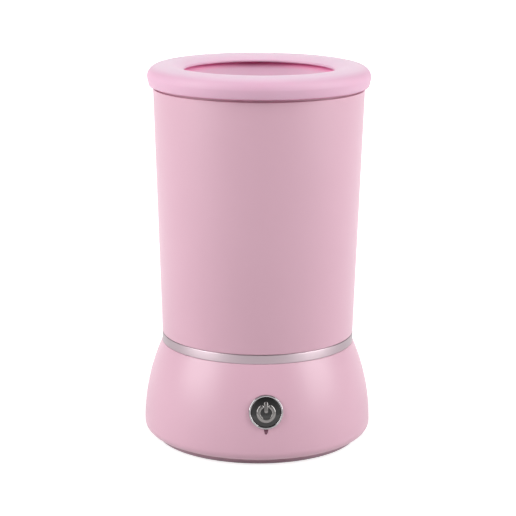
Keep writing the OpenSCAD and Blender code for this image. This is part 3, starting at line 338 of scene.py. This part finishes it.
def buildTrimFinish(s):
    material, tree = newMaterial("turnedMetallising")
    coords = addNode(tree, "ShaderNodeTexCoord")
    around, upright = 1 / (s["stretchMm"] * mm), 1 / (s["lineMm"] * mm)
    place = addNode(tree, "ShaderNodeMapping", {"Scale": (around, around, upright)},
                    {"Vector": coords.outputs["Object"]})
    lines = addNode(tree, "ShaderNodeTexNoise", {"Scale": 1.0, "Detail": s["detail"]},
                    {"Vector": place.outputs[0]})
    light, dark = s["colours"]
    shade = addNode(tree, "ShaderNodeMix", {"data_type": "RGBA", 6: hexColour(light), 7: hexColour(dark)},
                    {0: lines.outputs["Fac"]})
    relief = addNode(tree, "ShaderNodeBump", {"Strength": s["relief"], "Distance": s["depthMm"] * mm},
                     {"Height": lines.outputs["Fac"]})
    tangent = addNode(tree, "ShaderNodeTangent", {"direction_type": "RADIAL", "axis": "Z"})
    shader = addNode(tree, "ShaderNodeBsdfPrincipled",
                     {"Metallic": 1.0, "Roughness": s["rough"], "Anisotropic": s["streak"],
                      "Anisotropic Rotation": s["quarterTurn"]},
                     {"Base Color": shade.outputs[2], "Normal": relief.outputs[0],
                      "Tangent": tangent.outputs[0]})
    addNode(tree, "ShaderNodeOutputMaterial", {}, {"Surface": shader.outputs[0]})
    return material


made["turnedMetallising"] = buildTrimFinish(trimFinish)
print("finishes:", len(made))

# making shapes: the share of a side that a rounded corner may take, how close points are welded in metres,
# and how close to the axis a point counts as on it in millimetres

shapeSet = {"cornerShare": 0.499, "weld": 1e-7, "onAxis": 1e-9}


# a path of corners (across, up, radius), with each corner rounded
def roundCorners(corners, steps=6, closed=True):
    path = []
    for i, (x, y, radius) in enumerate(corners):
        here = Vector((x, y))
        if radius <= 0 or (not closed and i in (0, len(corners) - 1)):
            path.append((x, y))
            continue
        before = Vector(corners[i - 1][:2]) - here
        after = Vector(corners[(i + 1) % len(corners)][:2]) - here
        half = before.angle(after) / 2
        room = min(before.length, after.length) * shapeSet["cornerShare"]
        back = min(radius / math.tan(half), room)
        radius = back * math.tan(half)
        centre = here + (before.normalized() + after.normalized()).normalized() * (radius / math.sin(half))
        start = here + before.normalized() * back - centre
        end = here + after.normalized() * back - centre
        sweep = start.angle_signed(end)
        for k in range(steps + 1):
            t = -sweep * k / steps
            path.append((centre.x + start.x * math.cos(t) - start.y * math.sin(t),
                         centre.y + start.x * math.sin(t) + start.y * math.cos(t)))
    return path


def arcPath(cx, cy, radius, fromDeg, toDeg, steps):
    turns = [math.radians(fromDeg + (toDeg - fromDeg) * i / steps) for i in range(steps + 1)]
    return [(cx + radius * math.cos(t), cy + radius * math.sin(t)) for t in turns]


def finishMesh(bm, name, sharp=38):
    bmesh.ops.remove_doubles(bm, verts=bm.verts, dist=shapeSet["weld"])
    bmesh.ops.recalc_face_normals(bm, faces=bm.faces)
    mesh = bpy.data.meshes.new(name)
    bm.to_mesh(mesh)
    bm.free()
    mesh.shade_smooth()
    mesh.set_sharp_from_angle(angle=math.radians(sharp))
    piece = bpy.data.objects.new(name, mesh)
    scene.collection.objects.link(piece)
    return piece


# turns a closed outline (radius, height) in millimetres round Z
def latheInto(bm, path, turns, place=Matrix.Identity(4)):
    columns = []
    for i in range(turns):
        a = 2 * math.pi * i / turns
        points = [Vector((r * math.cos(a), r * math.sin(a), z)) * mm for r, z in path]
        columns.append([bm.verts.new(place @ p) for p in points])
    count = len(path)
    onAxis = [r < shapeSet["onAxis"] for r, z in path]
    for i in range(turns):
        left, right = columns[i], columns[(i + 1) % turns]
        for k in range(count):
            n = (k + 1) % count
            if onAxis[k] and onAxis[n]:
                continue
            corners = [left[k], right[k], right[n], left[n]]
            if onAxis[k]:
                corners = [left[k], right[n], left[n]]
            elif onAxis[n]:
                corners = [left[k], right[k], left[n]]
            bm.faces.new(corners)


def latheMesh(name, path, turns, place=Matrix.Identity(4), sharp=38):
    bm = bmesh.new()
    latheInto(bm, path, turns, place)
    return finishMesh(bm, name, sharp)


# lofts rings of equal count and closes both ends
def loftInto(bm, rings):
    loops = [[bm.verts.new(p) for p in ring] for ring in rings]
    count = len(rings[0])
    for lower, upper in zip(loops, loops[1:]):
        for k in range(count):
            n = (k + 1) % count
            bm.faces.new([lower[k], lower[n], upper[n], upper[k]])
    bm.faces.new(list(reversed(loops[0])))
    bm.faces.new(loops[-1])


# moves each point of a counter-clockwise outline inwards, or outwards where the amount is negative
def insetOutline(outline, amount):
    moved = []
    for i, (x, y) in enumerate(outline):
        before, after = Vector(outline[i - 1]), Vector(outline[(i + 1) % len(outline)])
        way = (after - before).normalized()
        moved.append((x - way.y * amount, y + way.x * amount))
    return moved


# a prism on an outline that runs counter-clockwise: levels are (height, inset) in millimetres
def prismInto(bm, outline, levels, place=Matrix.Identity(4)):
    loftInto(bm, [[place @ (Vector((x, y, height)) * mm) for x, y in insetOutline(outline, inset)]
                  for height, inset in levels])


def joinShapes(piece, tools, how):
    for tool in tools:
        step = piece.modifiers.new(tool.name, "BOOLEAN")
        step.operation = how
        step.solver = "EXACT"
        step.object = tool
    shaped = piece.evaluated_get(bpy.context.evaluated_depsgraph_get())
    mesh = bpy.data.meshes.new_from_object(shaped)
    old = piece.data
    piece.modifiers.clear()
    piece.data = mesh
    mesh.name = piece.name
    bpy.data.meshes.remove(old)
    for tool in tools:
        toolMesh = tool.data
        bpy.data.objects.remove(tool)
        bpy.data.meshes.remove(toolMesh)


def dress(piece, finish, body, slot, *replaced):
    piece.data.materials.clear()
    piece.data.materials.append(made[finish])
    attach(piece, body)
    if replaced:
        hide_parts(*replaced)


# the lid

lidSet = {"top": 150.7, "under": 142.3, "widest": 44.0, "mouth": 29.5, "plate": 1.2, "rim": 146.5,
          "lean": 0.8, "crown": 13.6, "crownIn": 7.2, "shoulder": 4.6, "lip": 0.7,
          "channel": 40.73, "channelEdge": 0.3,
          "plug": 38.82, "plugInside": 36.82, "plugFoot": 138.0, "plugEdge": 0.6,
          "bead": 141.4, "beadOut": 0.2, "beadHalf": 0.7, "beadEdge": 0.3,
          "funnelMouth": 25.5, "funnelHigh": 10.8, "funnelThick": 1.2, "funnelIn": 5.5,
          "funnelAim": (0.3, 0.1),
          "lipSteps": 12, "crownSteps": 40, "shoulderSteps": 16, "cornerSteps": 8, "footSteps": 10,
          "ceilingSteps": 6, "turns": 256, "sharp": 50}


# a soft ring: one broad arc over the crown, a tighter one at the shoulder, a thin lip at the mouth,
# and a funnel that hangs back under the lip
def makeLid(s):
    crown = Vector((s["widest"] - s["crownIn"], s["top"] - s["crown"]))
    lip, under = s["plate"] / 2, s["crown"] - s["plate"]

    def onCrown(radius, across):
        turn = math.acos((across - crown.x) / radius)
        return crown + Vector((math.cos(turn), math.sin(turn))) * radius, math.degrees(turn)

    def ceilingUnder(point, way):
        b = (point - crown).dot(way)
        return point + way * (-b - math.sqrt(b * b - (point - crown).length_squared + under * under))

    def turnOf(point):
        return math.degrees(math.atan2(point.y - crown.y, point.x - crown.x))

    shoulder, shoulderDeg = onCrown(s["crown"] - s["shoulder"], s["widest"] - s["shoulder"])
    edge, edgeDeg = onCrown(s["crown"] - lip, s["mouth"] + lip)
    root = onCrown(s["crown"] - lip, s["mouth"] + s["funnelIn"])[0]
    half = s["funnelThick"] / 2
    foot = Vector((s["funnelMouth"] + half, root.y - s["funnelHigh"]))
    way = (foot - root).normalized()
    side = Vector((-way.y, way.x)) * half
    sideDeg = math.degrees(math.atan2(side.y, side.x))
    outside = ceilingUnder(foot + side, way)
    inside = ceilingUnder(foot - side, way)
    aimX, aimY = s["funnelAim"]
    path = arcPath(edge.x, edge.y, lip, edgeDeg + 180, edgeDeg, s["lipSteps"])
    path += arcPath(crown.x, crown.y, s["crown"], edgeDeg, shoulderDeg, s["crownSteps"])[1:]
    path += arcPath(shoulder.x, shoulder.y, s["shoulder"], shoulderDeg, 0, s["shoulderSteps"])[1:]
    # the last point only gives the corner before it a direction, and is cut off
    path += roundCorners([
        path[-1] + (0,),
        (s["widest"] - s["lean"], s["under"], s["lip"]),
        (s["channel"], s["under"], s["channelEdge"]),
        (s["channel"], s["rim"], 0),
        (s["plug"], s["rim"], 0),
        (s["plug"], s["bead"] + s["beadHalf"], s["beadEdge"]),
        (s["plug"] + s["beadOut"], s["bead"], s["beadEdge"]),
        (s["plug"], s["bead"] - s["beadHalf"], s["beadEdge"]),
        (s["plug"], s["plugFoot"], s["plugEdge"]),
        (s["plugInside"], s["plugFoot"], s["plugEdge"]),
        (s["plugInside"], s["top"] - s["plate"], s["plugEdge"]),
        (outside.x + aimX, outside.y + aimY, 0),
    ], s["cornerSteps"], closed=False)[1:-1]
    path += [tuple(outside)]
    path += arcPath(foot.x, foot.y, half, sideDeg, sideDeg - 180, s["footSteps"])
    path += arcPath(crown.x, crown.y, under, turnOf(inside), edgeDeg, s["ceilingSteps"])[:-1]
    lid = latheMesh("splashLid", path, s["turns"], sharp=s["sharp"])
    dress(lid, "mouldedSilicone", "lid", "lid_silicone", "lid_ring")


makeLid(lidSet)

# the wash cup

cupSet = {"foot": 43.1, "rim": 146.5, "footOut": 38.4, "rimOut": 41.8, "wall": 2.4, "floorUnder": 56.9,
          "floorTop": 59.5, "fillet": 3.0, "tower": 7.0, "towerTop": 66.5, "sealSeat": 64.2, "seal": 5.5,
          "bush": 4.0, "neck": 40.43, "neckFoot": 141.3, "footInEdge": 0.3, "footOutEdge": 0.45,
          "shoulderEdge": 0.2, "neckFillet": 0.1, "rimEdge": 0.5, "towerFillet": 0.8, "towerEdge": 0.5,
          "underFillet": 0.8, "turns": 256, "keys": 3, "keyWide": 4.0, "keyIn": 34.8, "keyFoot": 43.4,
          "keyEdge": 0.3, "keySteps": 3, "keySink": 0.8, "keyOver": 0.6}


# a tapered wall on a floor with a short tower for the spindle, and keys inside the skirt
def makeCup(s):
    def wallOut(z):
        return s["footOut"] + (s["rimOut"] - s["footOut"]) * (z - s["foot"]) / (s["rim"] - s["foot"])

    def wallIn(z):
        return wallOut(z) - s["wall"]

    path = roundCorners([
        (wallIn(s["foot"]), s["foot"], s["footInEdge"]),
        (wallOut(s["foot"]), s["foot"], s["footOutEdge"]),
        (wallOut(s["neckFoot"]), s["neckFoot"], s["shoulderEdge"]),
        (s["neck"], s["neckFoot"], s["neckFillet"]),
        (s["neck"], s["rim"], s["rimEdge"]),
        (wallIn(s["rim"]), s["rim"], s["rimEdge"]),
        (wallIn(s["floorTop"]), s["floorTop"], s["fillet"]),
        (s["tower"], s["floorTop"], s["towerFillet"]),
        (s["tower"], s["towerTop"], s["towerEdge"]),
        (s["seal"], s["towerTop"], 0),
        (s["seal"], s["sealSeat"], 0),
        (s["bush"], s["sealSeat"], 0),
        (s["bush"], s["floorUnder"], 0),
        (wallIn(s["floorUnder"]), s["floorUnder"], s["underFillet"]),
    ])
    cup = latheMesh("washCup", path, s["turns"])
    half, root = s["keyWide"] / 2, wallIn(s["foot"]) + s["keySink"]
    outline = roundCorners([(s["keyIn"], -half, s["keyEdge"]), (root, -half, 0),
                            (root, half, 0), (s["keyIn"], half, s["keyEdge"])], s["keySteps"])
    keys = []
    for i in range(s["keys"]):
        bm = bmesh.new()
        prismInto(bm, outline, [(s["keyFoot"], 0), (s["floorUnder"] + s["keyOver"], 0)],
                  Matrix.Rotation(2 * math.pi * i / s["keys"], 4, "Z"))
        keys.append(finishMesh(bm, "cupKey" + str(i)))
    joinShapes(cup, keys, "UNION")
    dress(cup, "satinPinkAbs", "cup", "pink_plastic", "cup_shell")


makeCup(cupSet)

# the base

baseSet = {"foot": 2.2, "widest": 45.6, "edge": 3.8, "wideAt": 6.0, "top": 39.4, "topOut": 38.45,
           "topEdge": 0.3, "topBackDeg": 0.35, "wall": 2.4, "deck": 2.6, "spigot": 35.7, "plateau": 46.5,
           "plateauEdge": 0.7, "plateauUnder": 43.9, "opening": 39.4, "shaftHole": 3.2, "shaftEdge": 0.3,
           "edgeSteps": 14, "flareSteps": 48, "cornerSteps": 4, "insideSteps": 24, "insideEdgeSteps": 8,
           "turns": 256, "cutPast": 2, "buttonAt": 22.0, "buttonHole": 6.7, "buttonCut": (-9, 4),
           "buttonTurns": 96, "lensCut": (-8, 4), "portAt": 13.5, "portWide": 9.34, "portHigh": 3.66,
           "portBevel": 0.5, "portOut": 4, "portFlare": 8, "portDeep": 9, "portSteps": 10,
           "keys": 3, "keyWide": 4.6, "keyIn": 34.5, "keyFoot": 43.1, "keyPast": 3,
           "screwPitch": 16.0, "screwWell": 2.6, "screwSink": 1.6, "screwHole": 1.45, "screwTurns": 48}
lensSet = {"drop": 7.9, "half": 1.0, "topEdge": 0.25, "waist": 0.6, "waistAt": -0.05, "waistRound": 1.2,
           "tip": -1.15, "tipRound": 0.35, "steps": 5, "top": 1.15, "cutTop": 1.8, "clear": 0.05,
           "back": -10.4, "front": -0.26, "bevel": [(0.12, 0), (0.03, 0.05), (0, 0.15)]}
smoothSet = {"low": 8, "high": 34, "deep": 12, "reach": 20, "off": 0.1, "along": 0.94, "level": 0.999}

# the flare is one arc from the widest point to the top edge, and the button sits square on it
flareIn = baseSet["widest"] - baseSet["topOut"]
flareHigh = baseSet["top"] - baseSet["wideAt"]
flareRho = (flareHigh ** 2 + flareIn ** 2) / (2 * flareIn)
flareCentre = baseSet["widest"] - flareRho
buttonTilt = math.asin((baseSet["buttonAt"] - baseSet["wideAt"]) / flareRho)
buttonOut = flareCentre + flareRho * math.cos(buttonTilt)
buttonFrame = (Matrix.Translation(Vector((0, -buttonOut, baseSet["buttonAt"])) * mm)
               @ Matrix.Rotation(math.pi / 2 - buttonTilt, 4, "X"))
lensFrame = buttonFrame @ Matrix.Translation((0, -lensSet["drop"] * mm, 0))


# the indicator: broad under the bezel, drawn in to a blunt tip
def lensShape(s, top):
    return roundCorners([(s["half"], top, s["topEdge"]), (-s["half"], top, s["topEdge"]),
                         (-s["waist"], s["waistAt"], s["waistRound"]), (0, s["tip"], s["tipRound"]),
                         (s["waist"], s["waistAt"], s["waistRound"])], s["steps"])


# the cuts leave uneven faces, so the flare's own normals are laid on them, and level ones on the flat top
def keepFlareSmooth(mesh, s):
    normals = [(0.0, 0.0, 0.0)] * len(mesh.loops)
    for face in mesh.polygons:
        if face.normal.z > s["level"]:
            for loop in face.loop_indices:
                normals[loop] = (0.0, 0.0, 1.0)
            continue
        c = face.center / mm
        if not s["low"] < c.z < s["high"] or c.xy.length < flareCentre + flareRho - s["deep"]:
            continue
        if min(c.x ** 2 + (c.y + buttonOut) ** 2, c.x ** 2 + (c.y - buttonOut) ** 2) > s["reach"] ** 2:
            continue
        for loop in face.loop_indices:
            p = mesh.vertices[mesh.loops[loop].vertex_index].co / mm
            out = p.xy.length - flareCentre
            if abs(math.hypot(out, p.z - baseSet["wideAt"]) - flareRho) > s["off"]:
                continue
            way = Vector((p.x, p.y, 0)).normalized() * out + Vector((0, 0, p.z - baseSet["wideAt"]))
            way.normalize()
            if way.dot(face.normal) > s["along"]:
                normals[loop] = tuple(way)
    mesh.normals_split_custom_set(normals)


# a flared shell with a plateau for the cup, cut for the button, indicator, port, keys and motor screws
def makeBase(s, lens, smooth):
    topTurn = math.degrees(math.asin(flareHigh / flareRho))
    deckUnder = s["top"] - s["deck"]
    inside = flareRho - s["wall"]
    deckTurn = math.degrees(math.asin((deckUnder - s["wideAt"]) / inside))
    edgeAt = s["widest"] - s["edge"]
    path = [(s["opening"], s["foot"])]
    path += arcPath(edgeAt, s["wideAt"], s["edge"], -90, 0, s["edgeSteps"])
    path += arcPath(flareCentre, s["wideAt"], flareRho, 0, topTurn - s["topBackDeg"], s["flareSteps"])[1:]
    path += roundCorners([
        (*path[-1], 0),
        (s["topOut"], s["top"], s["topEdge"]),
        (s["spigot"], s["top"], 0),
        (s["spigot"], s["plateau"], s["plateauEdge"]),
        (s["shaftHole"], s["plateau"], s["shaftEdge"]),
        (s["shaftHole"], s["plateauUnder"], 0),
        (s["spigot"] - s["wall"], s["plateauUnder"], 0),
        (s["spigot"] - s["wall"], deckUnder, 0),
    ], s["cornerSteps"])[1:]
    path += arcPath(flareCentre, s["wideAt"], inside, deckTurn, 0, s["insideSteps"])
    path += arcPath(edgeAt, s["wideAt"], s["edge"] - s["wall"], 0, -90, s["insideEdgeSteps"])[1:]
    path += [(s["opening"], s["foot"] + s["wall"])]
    base = latheMesh("baseShell", path, s["turns"])

    cutters = []
    bm = bmesh.new()
    low, high = s["buttonCut"]
    hole = [(0, low), (s["buttonHole"], low), (s["buttonHole"], high), (0, high)]
    latheInto(bm, hole, s["buttonTurns"], buttonFrame)
    cutters.append(finishMesh(bm, "buttonCut"))
    bm = bmesh.new()
    prismInto(bm, lensShape(lens, lens["cutTop"]), [(z, -lens["clear"]) for z in s["lensCut"]], lensFrame)
    cutters.append(finishMesh(bm, "lensCut"))
    bm = bmesh.new()
    wide, end = s["portWide"] / 2, s["portHigh"] / 2
    port = roundCorners([(wide, end, end), (-wide, end, end), (-wide, -end, end), (wide, -end, end)],
                        s["portSteps"])
    face = flareCentre + math.sqrt(flareRho ** 2 - (s["portAt"] - s["wideAt"]) ** 2)
    levels = [(-face - s["portOut"], -s["portBevel"] * s["portFlare"]), (-face + s["portBevel"], 0),
              (-face + s["portDeep"], 0)]
    prismInto(bm, port, levels,
              Matrix.Translation((0, 0, s["portAt"] * mm)) @ Matrix.Rotation(math.pi / 2, 4, "X"))
    cutters.append(finishMesh(bm, "portCut"))
    wide, past = s["keyWide"] / 2, s["spigot"] + s["keyPast"]
    groove = [(s["keyIn"], -wide), (past, -wide), (past, wide), (s["keyIn"], wide)]
    high = s["plateau"] + s["cutPast"]
    for i in range(s["keys"]):
        bm = bmesh.new()
        prismInto(bm, groove, [(s["keyFoot"], 0), (high, 0)],
                  Matrix.Rotation(2 * math.pi * i / s["keys"], 4, "Z"))
        cutters.append(finishMesh(bm, "keyCut" + str(i)))
    low, well = s["plateauUnder"] - s["cutPast"], s["plateau"] - s["screwSink"]
    for side in (-1, 1):
        bm = bmesh.new()
        latheInto(bm, [(0, low), (s["screwHole"], low), (s["screwHole"], well), (s["screwWell"], well),
                       (s["screwWell"], high), (0, high)], s["screwTurns"],
                  Matrix.Translation((side * s["screwPitch"] / 2 * mm, 0, 0)))
        cutters.append(finishMesh(bm, "screwCut" + str(side)))
    joinShapes(base, cutters, "DIFFERENCE")
    keepFlareSmooth(base.data, smooth)
    dress(base, "satinPinkAbs", "base", "pink_plastic", "base_shell")


makeBase(baseSet, lensSet, smoothSet)
print("shells: lid, cup and base")

# trim ring and foot ring

trimSet = {"out": 38.45, "inside": 35.75, "foot": 39.4, "top": 43.1, "edge": 0.35, "innerEdge": 0.2,
           "turns": 256}
footSet = {"out": 40.8, "inside": 36.8, "thick": 1.2, "edge": 0.4, "topEdge": 0.1, "turns": 192}


def makeRings(trim, foot):
    path = roundCorners([
        (trim["inside"], trim["foot"], trim["innerEdge"]),
        (trim["out"], trim["foot"], trim["edge"]),
        (trim["out"], trim["top"], trim["edge"]),
        (trim["inside"], trim["top"], trim["innerEdge"]),
    ])
    ring = latheMesh("trimRing", path, trim["turns"])
    dress(ring, "turnedMetallising", "base", "metallised_trim", "trim_ring")
    path = roundCorners([
        (foot["inside"], 0, foot["edge"]),
        (foot["out"], 0, foot["edge"]),
        (foot["out"], foot["thick"], foot["topEdge"]),
        (foot["inside"], foot["thick"], foot["topEdge"]),
    ])
    pad = latheMesh("footRing", path, foot["turns"])
    dress(pad, "footRubber", "base", "foot_rubber", "foot_ring")


makeRings(trimSet, footSet)

# the button and its indicator

bezelSet = {"out": 6.65, "inside": 5.85, "proud": 0.45, "edge": 0.32, "seat": 4.2, "flange": 8.55,
            "flangeThick": 1.0, "flangeEdge": 0.2, "flat": 6.7, "flatPast": 2, "flatUnder": 1,
            "flatOver": 0.5, "turns": 128}
capSet = {"out": 5.75, "edgeAt": 0.25, "crown": 0.6, "edge": 0.5, "back": -6.45, "flange": 6.55,
          "flangeThick": 1.2, "flangeEdge": 0.2, "crownSteps": 10, "edgeSteps": 6, "turns": 128}
signSet = {"ring": 2.99, "wide": 1.55, "high": 0.42, "swell": 0.5, "gap": 33.0, "drop": 0.35, "bar": 3.0,
           "sink": 0.1, "across": 10, "ends": 6, "ringSteps": 48, "barSteps": 10, "sharp": 60}


def capHeight(s, r):
    return s["edgeAt"] + s["crown"] * (1 - (r / s["out"]) ** 2)


# a rounded bead along a path of (x, y), swelling from the cap's crown
def beadInto(bm, path, s, cap):
    half, across, ends = s["wide"] / 2, s["across"], s["ends"]
    rings = []
    last = len(path) - 1
    ways = [(Vector(path[min(i + 1, last)]) - Vector(path[max(i - 1, 0)])).normalized()
            for i in range(last + 1)]
    fades = [(math.cos(math.pi / 2 * k / ends), math.sin(math.pi / 2 * k / ends)) for k in range(1, ends)]
    stations = [(Vector(path[0]) - ways[0] * half * out, ways[0], size) for out, size in fades]
    stations += [(Vector(p), way, 1.0) for p, way in zip(path, ways)]
    stations += [(Vector(path[-1]) + ways[-1] * half * out, ways[-1], size) for out, size in reversed(fades)]
    for p, way, size in stations:
        side = Vector((-way.y, way.x))
        ring = []
        for k in range(across + 1):
            t = math.pi * k / across
            q = p + side * half * size * math.cos(t)
            lift = s["high"] * size * math.sin(t) ** s["swell"] if 0 < k < across else -s["sink"]
            ring.append(buttonFrame @ (Vector((q.x, q.y, capHeight(cap, q.length) + lift)) * mm))
        rings.append(ring)
    loftInto(bm, rings)


def makeButton(bezel, cap, sign, lens):
    low = -bezel["seat"] - bezel["flangeThick"]
    path = roundCorners([
        (bezel["inside"], low, 0),
        (bezel["flange"], low, bezel["flangeEdge"]),
        (bezel["flange"], -bezel["seat"], bezel["flangeEdge"]),
        (bezel["out"], -bezel["seat"], 0),
        (bezel["out"], bezel["proud"], bezel["edge"]),
        (bezel["inside"], bezel["proud"], bezel["edge"]),
    ])
    ring = latheMesh("buttonBezel", path, bezel["turns"], buttonFrame)
    bm = bmesh.new()
    far = bezel["flange"] + bezel["flatPast"]
    prismInto(bm, [(-far, -far), (far, -far), (far, -bezel["flat"]), (-far, -bezel["flat"])],
              [(low - bezel["flatUnder"], 0), (-bezel["seat"] + bezel["flatOver"], 0)], buttonFrame)
    joinShapes(ring, [finishMesh(bm, "flangeCut")], "DIFFERENCE")
    dress(ring, "brightChrome", "base", "bright_plating", "button_bezel")

    steps = cap["crownSteps"]
    crown = [(cap["out"] - cap["edge"]) * k / steps for k in range(steps, -1, -1)]
    crown = [(r, capHeight(cap, r)) for r in crown]
    path = roundCorners([
        (cap["flange"], cap["back"], cap["flangeEdge"]),
        (cap["flange"], cap["back"] + cap["flangeThick"], cap["flangeEdge"]),
        (cap["out"], cap["back"] + cap["flangeThick"], 0),
        (cap["out"], cap["edgeAt"], cap["edge"]),
        (*crown[0], 0),
    ], cap["edgeSteps"], closed=False)
    button = latheMesh("powerButton", path + crown[1:] + [(0, cap["back"])], cap["turns"], buttonFrame)
    dress(button, "pianoBlackAbs", "button", "gunmetal_cap", "power_button")

    bm = bmesh.new()
    steps, sweep = sign["ringSteps"], 360 - 2 * sign["gap"]
    turns = [math.radians(90 + sign["gap"] + sweep * k / steps) for k in range(steps + 1)]
    arc = [(sign["ring"] * math.cos(t), sign["ring"] * math.sin(t) - sign["drop"]) for t in turns]
    beadInto(bm, arc, sign, cap)
    steps, foot = sign["barSteps"], sign["wide"] / 2 - sign["drop"]
    beadInto(bm, [(0, foot + sign["bar"] * k / steps) for k in range(steps + 1)], sign, cap)
    symbol = finishMesh(bm, "powerSign", sharp=sign["sharp"])
    dress(symbol, "greyChrome", "button", "bright_plating", "power_symbol")

    bm = bmesh.new()
    levels = [(lens["back"], 0)] + [(lens["front"] - deep, inset) for deep, inset in lens["bevel"]]
    prismInto(bm, lensShape(lens, lens["top"]), levels, lensFrame)
    indicator = finishMesh(bm, "indicatorLens")
    dress(indicator, "plumPolycarbonate", "base", "plum_lens", "indicator_lens")


makeButton(bezelSet, capSet, signSet, lensSet)
print("button: bezel, cap, sign and lens")

# the scrub pad

padSet = {"out": 33.5, "foot": 61.0, "footEdge": 0.5, "carrierTop": 62.6, "top": 64.6, "topEdge": 0.8,
          "carrier": 31.7, "carrierEdge": 0.3, "dome": 11.45, "domeTop": 71.95, "domeInside": 9.65,
          "domeRoof": 70.15, "domeRound": 3.0, "domeFillet": 1.0, "turns": 192, "sink": 0.6,
          "nub": 1.6, "nubTip": 1.0, "nubHigh": 4.5, "nubFlare": 0.4, "flareUnder": 0.05, "flareOver": 0.25,
          "nubFillet": 0.5, "nubRound": 0.85, "nubSteps": 5, "nubTurns": 20,
          "rows": 4, "pitch": 6.4, "margin": 2.4,
          "fins": 8, "finOut": 1.2, "finIn": 0.8, "finDown": 1.2, "finRound": 1.6, "finSteps": 5,
          "finThick": 1.4, "finEdge": 0.3}


# a disc with a dome, rows of nubs with every other row turned by half a pitch, and fins on the dome
def makePad(s):
    bm = bmesh.new()
    latheInto(bm, roundCorners([
        (s["carrier"], s["foot"], s["carrierEdge"]),
        (s["out"], s["foot"], s["footEdge"]),
        (s["out"], s["top"], s["topEdge"]),
        (s["dome"], s["top"], s["domeFillet"]),
        (s["dome"], s["domeTop"], s["domeRound"]),
        (0, s["domeTop"], 0),
        (0, s["domeRoof"], 0),
        (s["domeInside"], s["domeRoof"], 0),
        (s["domeInside"], s["carrierTop"], 0),
        (s["carrier"], s["carrierTop"], 0),
    ]), s["turns"])
    first = s["dome"] + s["finOut"] + s["margin"]
    step = (s["out"] - s["margin"] - first) / (s["rows"] - 1)
    root, tip = s["top"] - s["sink"], s["top"] + s["nubHigh"]
    flare = s["nub"] + s["nubFlare"]
    nub = roundCorners([
        (0, root, 0),
        (flare, root, 0),
        (flare, s["top"] - s["flareUnder"], 0),
        (s["nub"], s["top"] + s["flareOver"], s["nubFillet"]),
        (s["nubTip"], tip, s["nubRound"]),
        (0, tip, 0),
    ], s["nubSteps"])
    for row in range(s["rows"]):
        across = first + row * step
        count = int(2 * math.pi * across / s["pitch"])
        for i in range(count):
            turn = 2 * math.pi * (i + (row % 2) / 2) / count
            spot = Vector((math.cos(turn), math.sin(turn), 0)) * across * mm
            latheInto(bm, nub, s["nubTurns"], Matrix.Translation(spot))
    near, far, high = s["dome"] - s["finIn"], s["dome"] + s["finOut"], s["domeTop"] - s["finDown"]
    fin = roundCorners([(near, root, 0), (far, root, 0), (far, high, s["finRound"]), (near, high, 0)],
                       s["finSteps"])
    half, edge = s["finThick"] / 2, s["finEdge"]
    for i in range(s["fins"]):
        prismInto(bm, fin, [(-half, edge), (-half + edge, 0), (half - edge, 0), (half, edge)],
                  Matrix.Rotation(2 * math.pi * i / s["fins"], 4, "Z") @ Matrix.Rotation(math.pi / 2, 4, "X"))
    pad = finishMesh(bm, "scrubPad")
    dress(pad, "padSilicone", "spinner", "pad_silicone", "scrub_pad")


makePad(padSet)
print("pad: nubs and fins")

# finishes of the pieces that keep their solids

cadFinishes = {
    "mouldedNylon": ["pad_carrier", "driven_dog", "thrust_washer", "indicator_led", "motor_end_cap"],
    "blackAcetal": ["drive_dog", "tact_switch", "switch_plunger", "control_chip", "usb_tongue"],
    "zincSteel": ["cover_screws", "board_screws", "motor_screws", "charge_board_screws", "motor_can",
                  "usb_socket", "battery_tabs"],
    "groundSteel": ["spindle", "motor_shaft"],
    "sinteredBronze": ["spindle_bush"],
    "rolledBrass": ["motor_terminals", "commutator"],
    "solderMask": ["control_board", "charge_board"],
    "blackNitrile": ["lip_seal", "motor_gasket"],
    "pressedFerrite": ["motor_magnets"],
    "enamelledCopper": ["armature"],
    "shrinkSleeve": ["battery_cell"],
    "redPvc": ["red_leads"],
    "blackPvc": ["black_leads"],
    # the bottom cover gets the pink ABS darkened with painted shade
    "paintedShadeAbs": ["bottom_cover"],
}
for finish, names in cadFinishes.items():
    for name in names:
        solid = cadNodes[name]
        solid.data.materials.clear()
        solid.data.materials.append(made[finish])
print("solids:", sum(len(names) for names in cadFinishes.values()), "dressed")
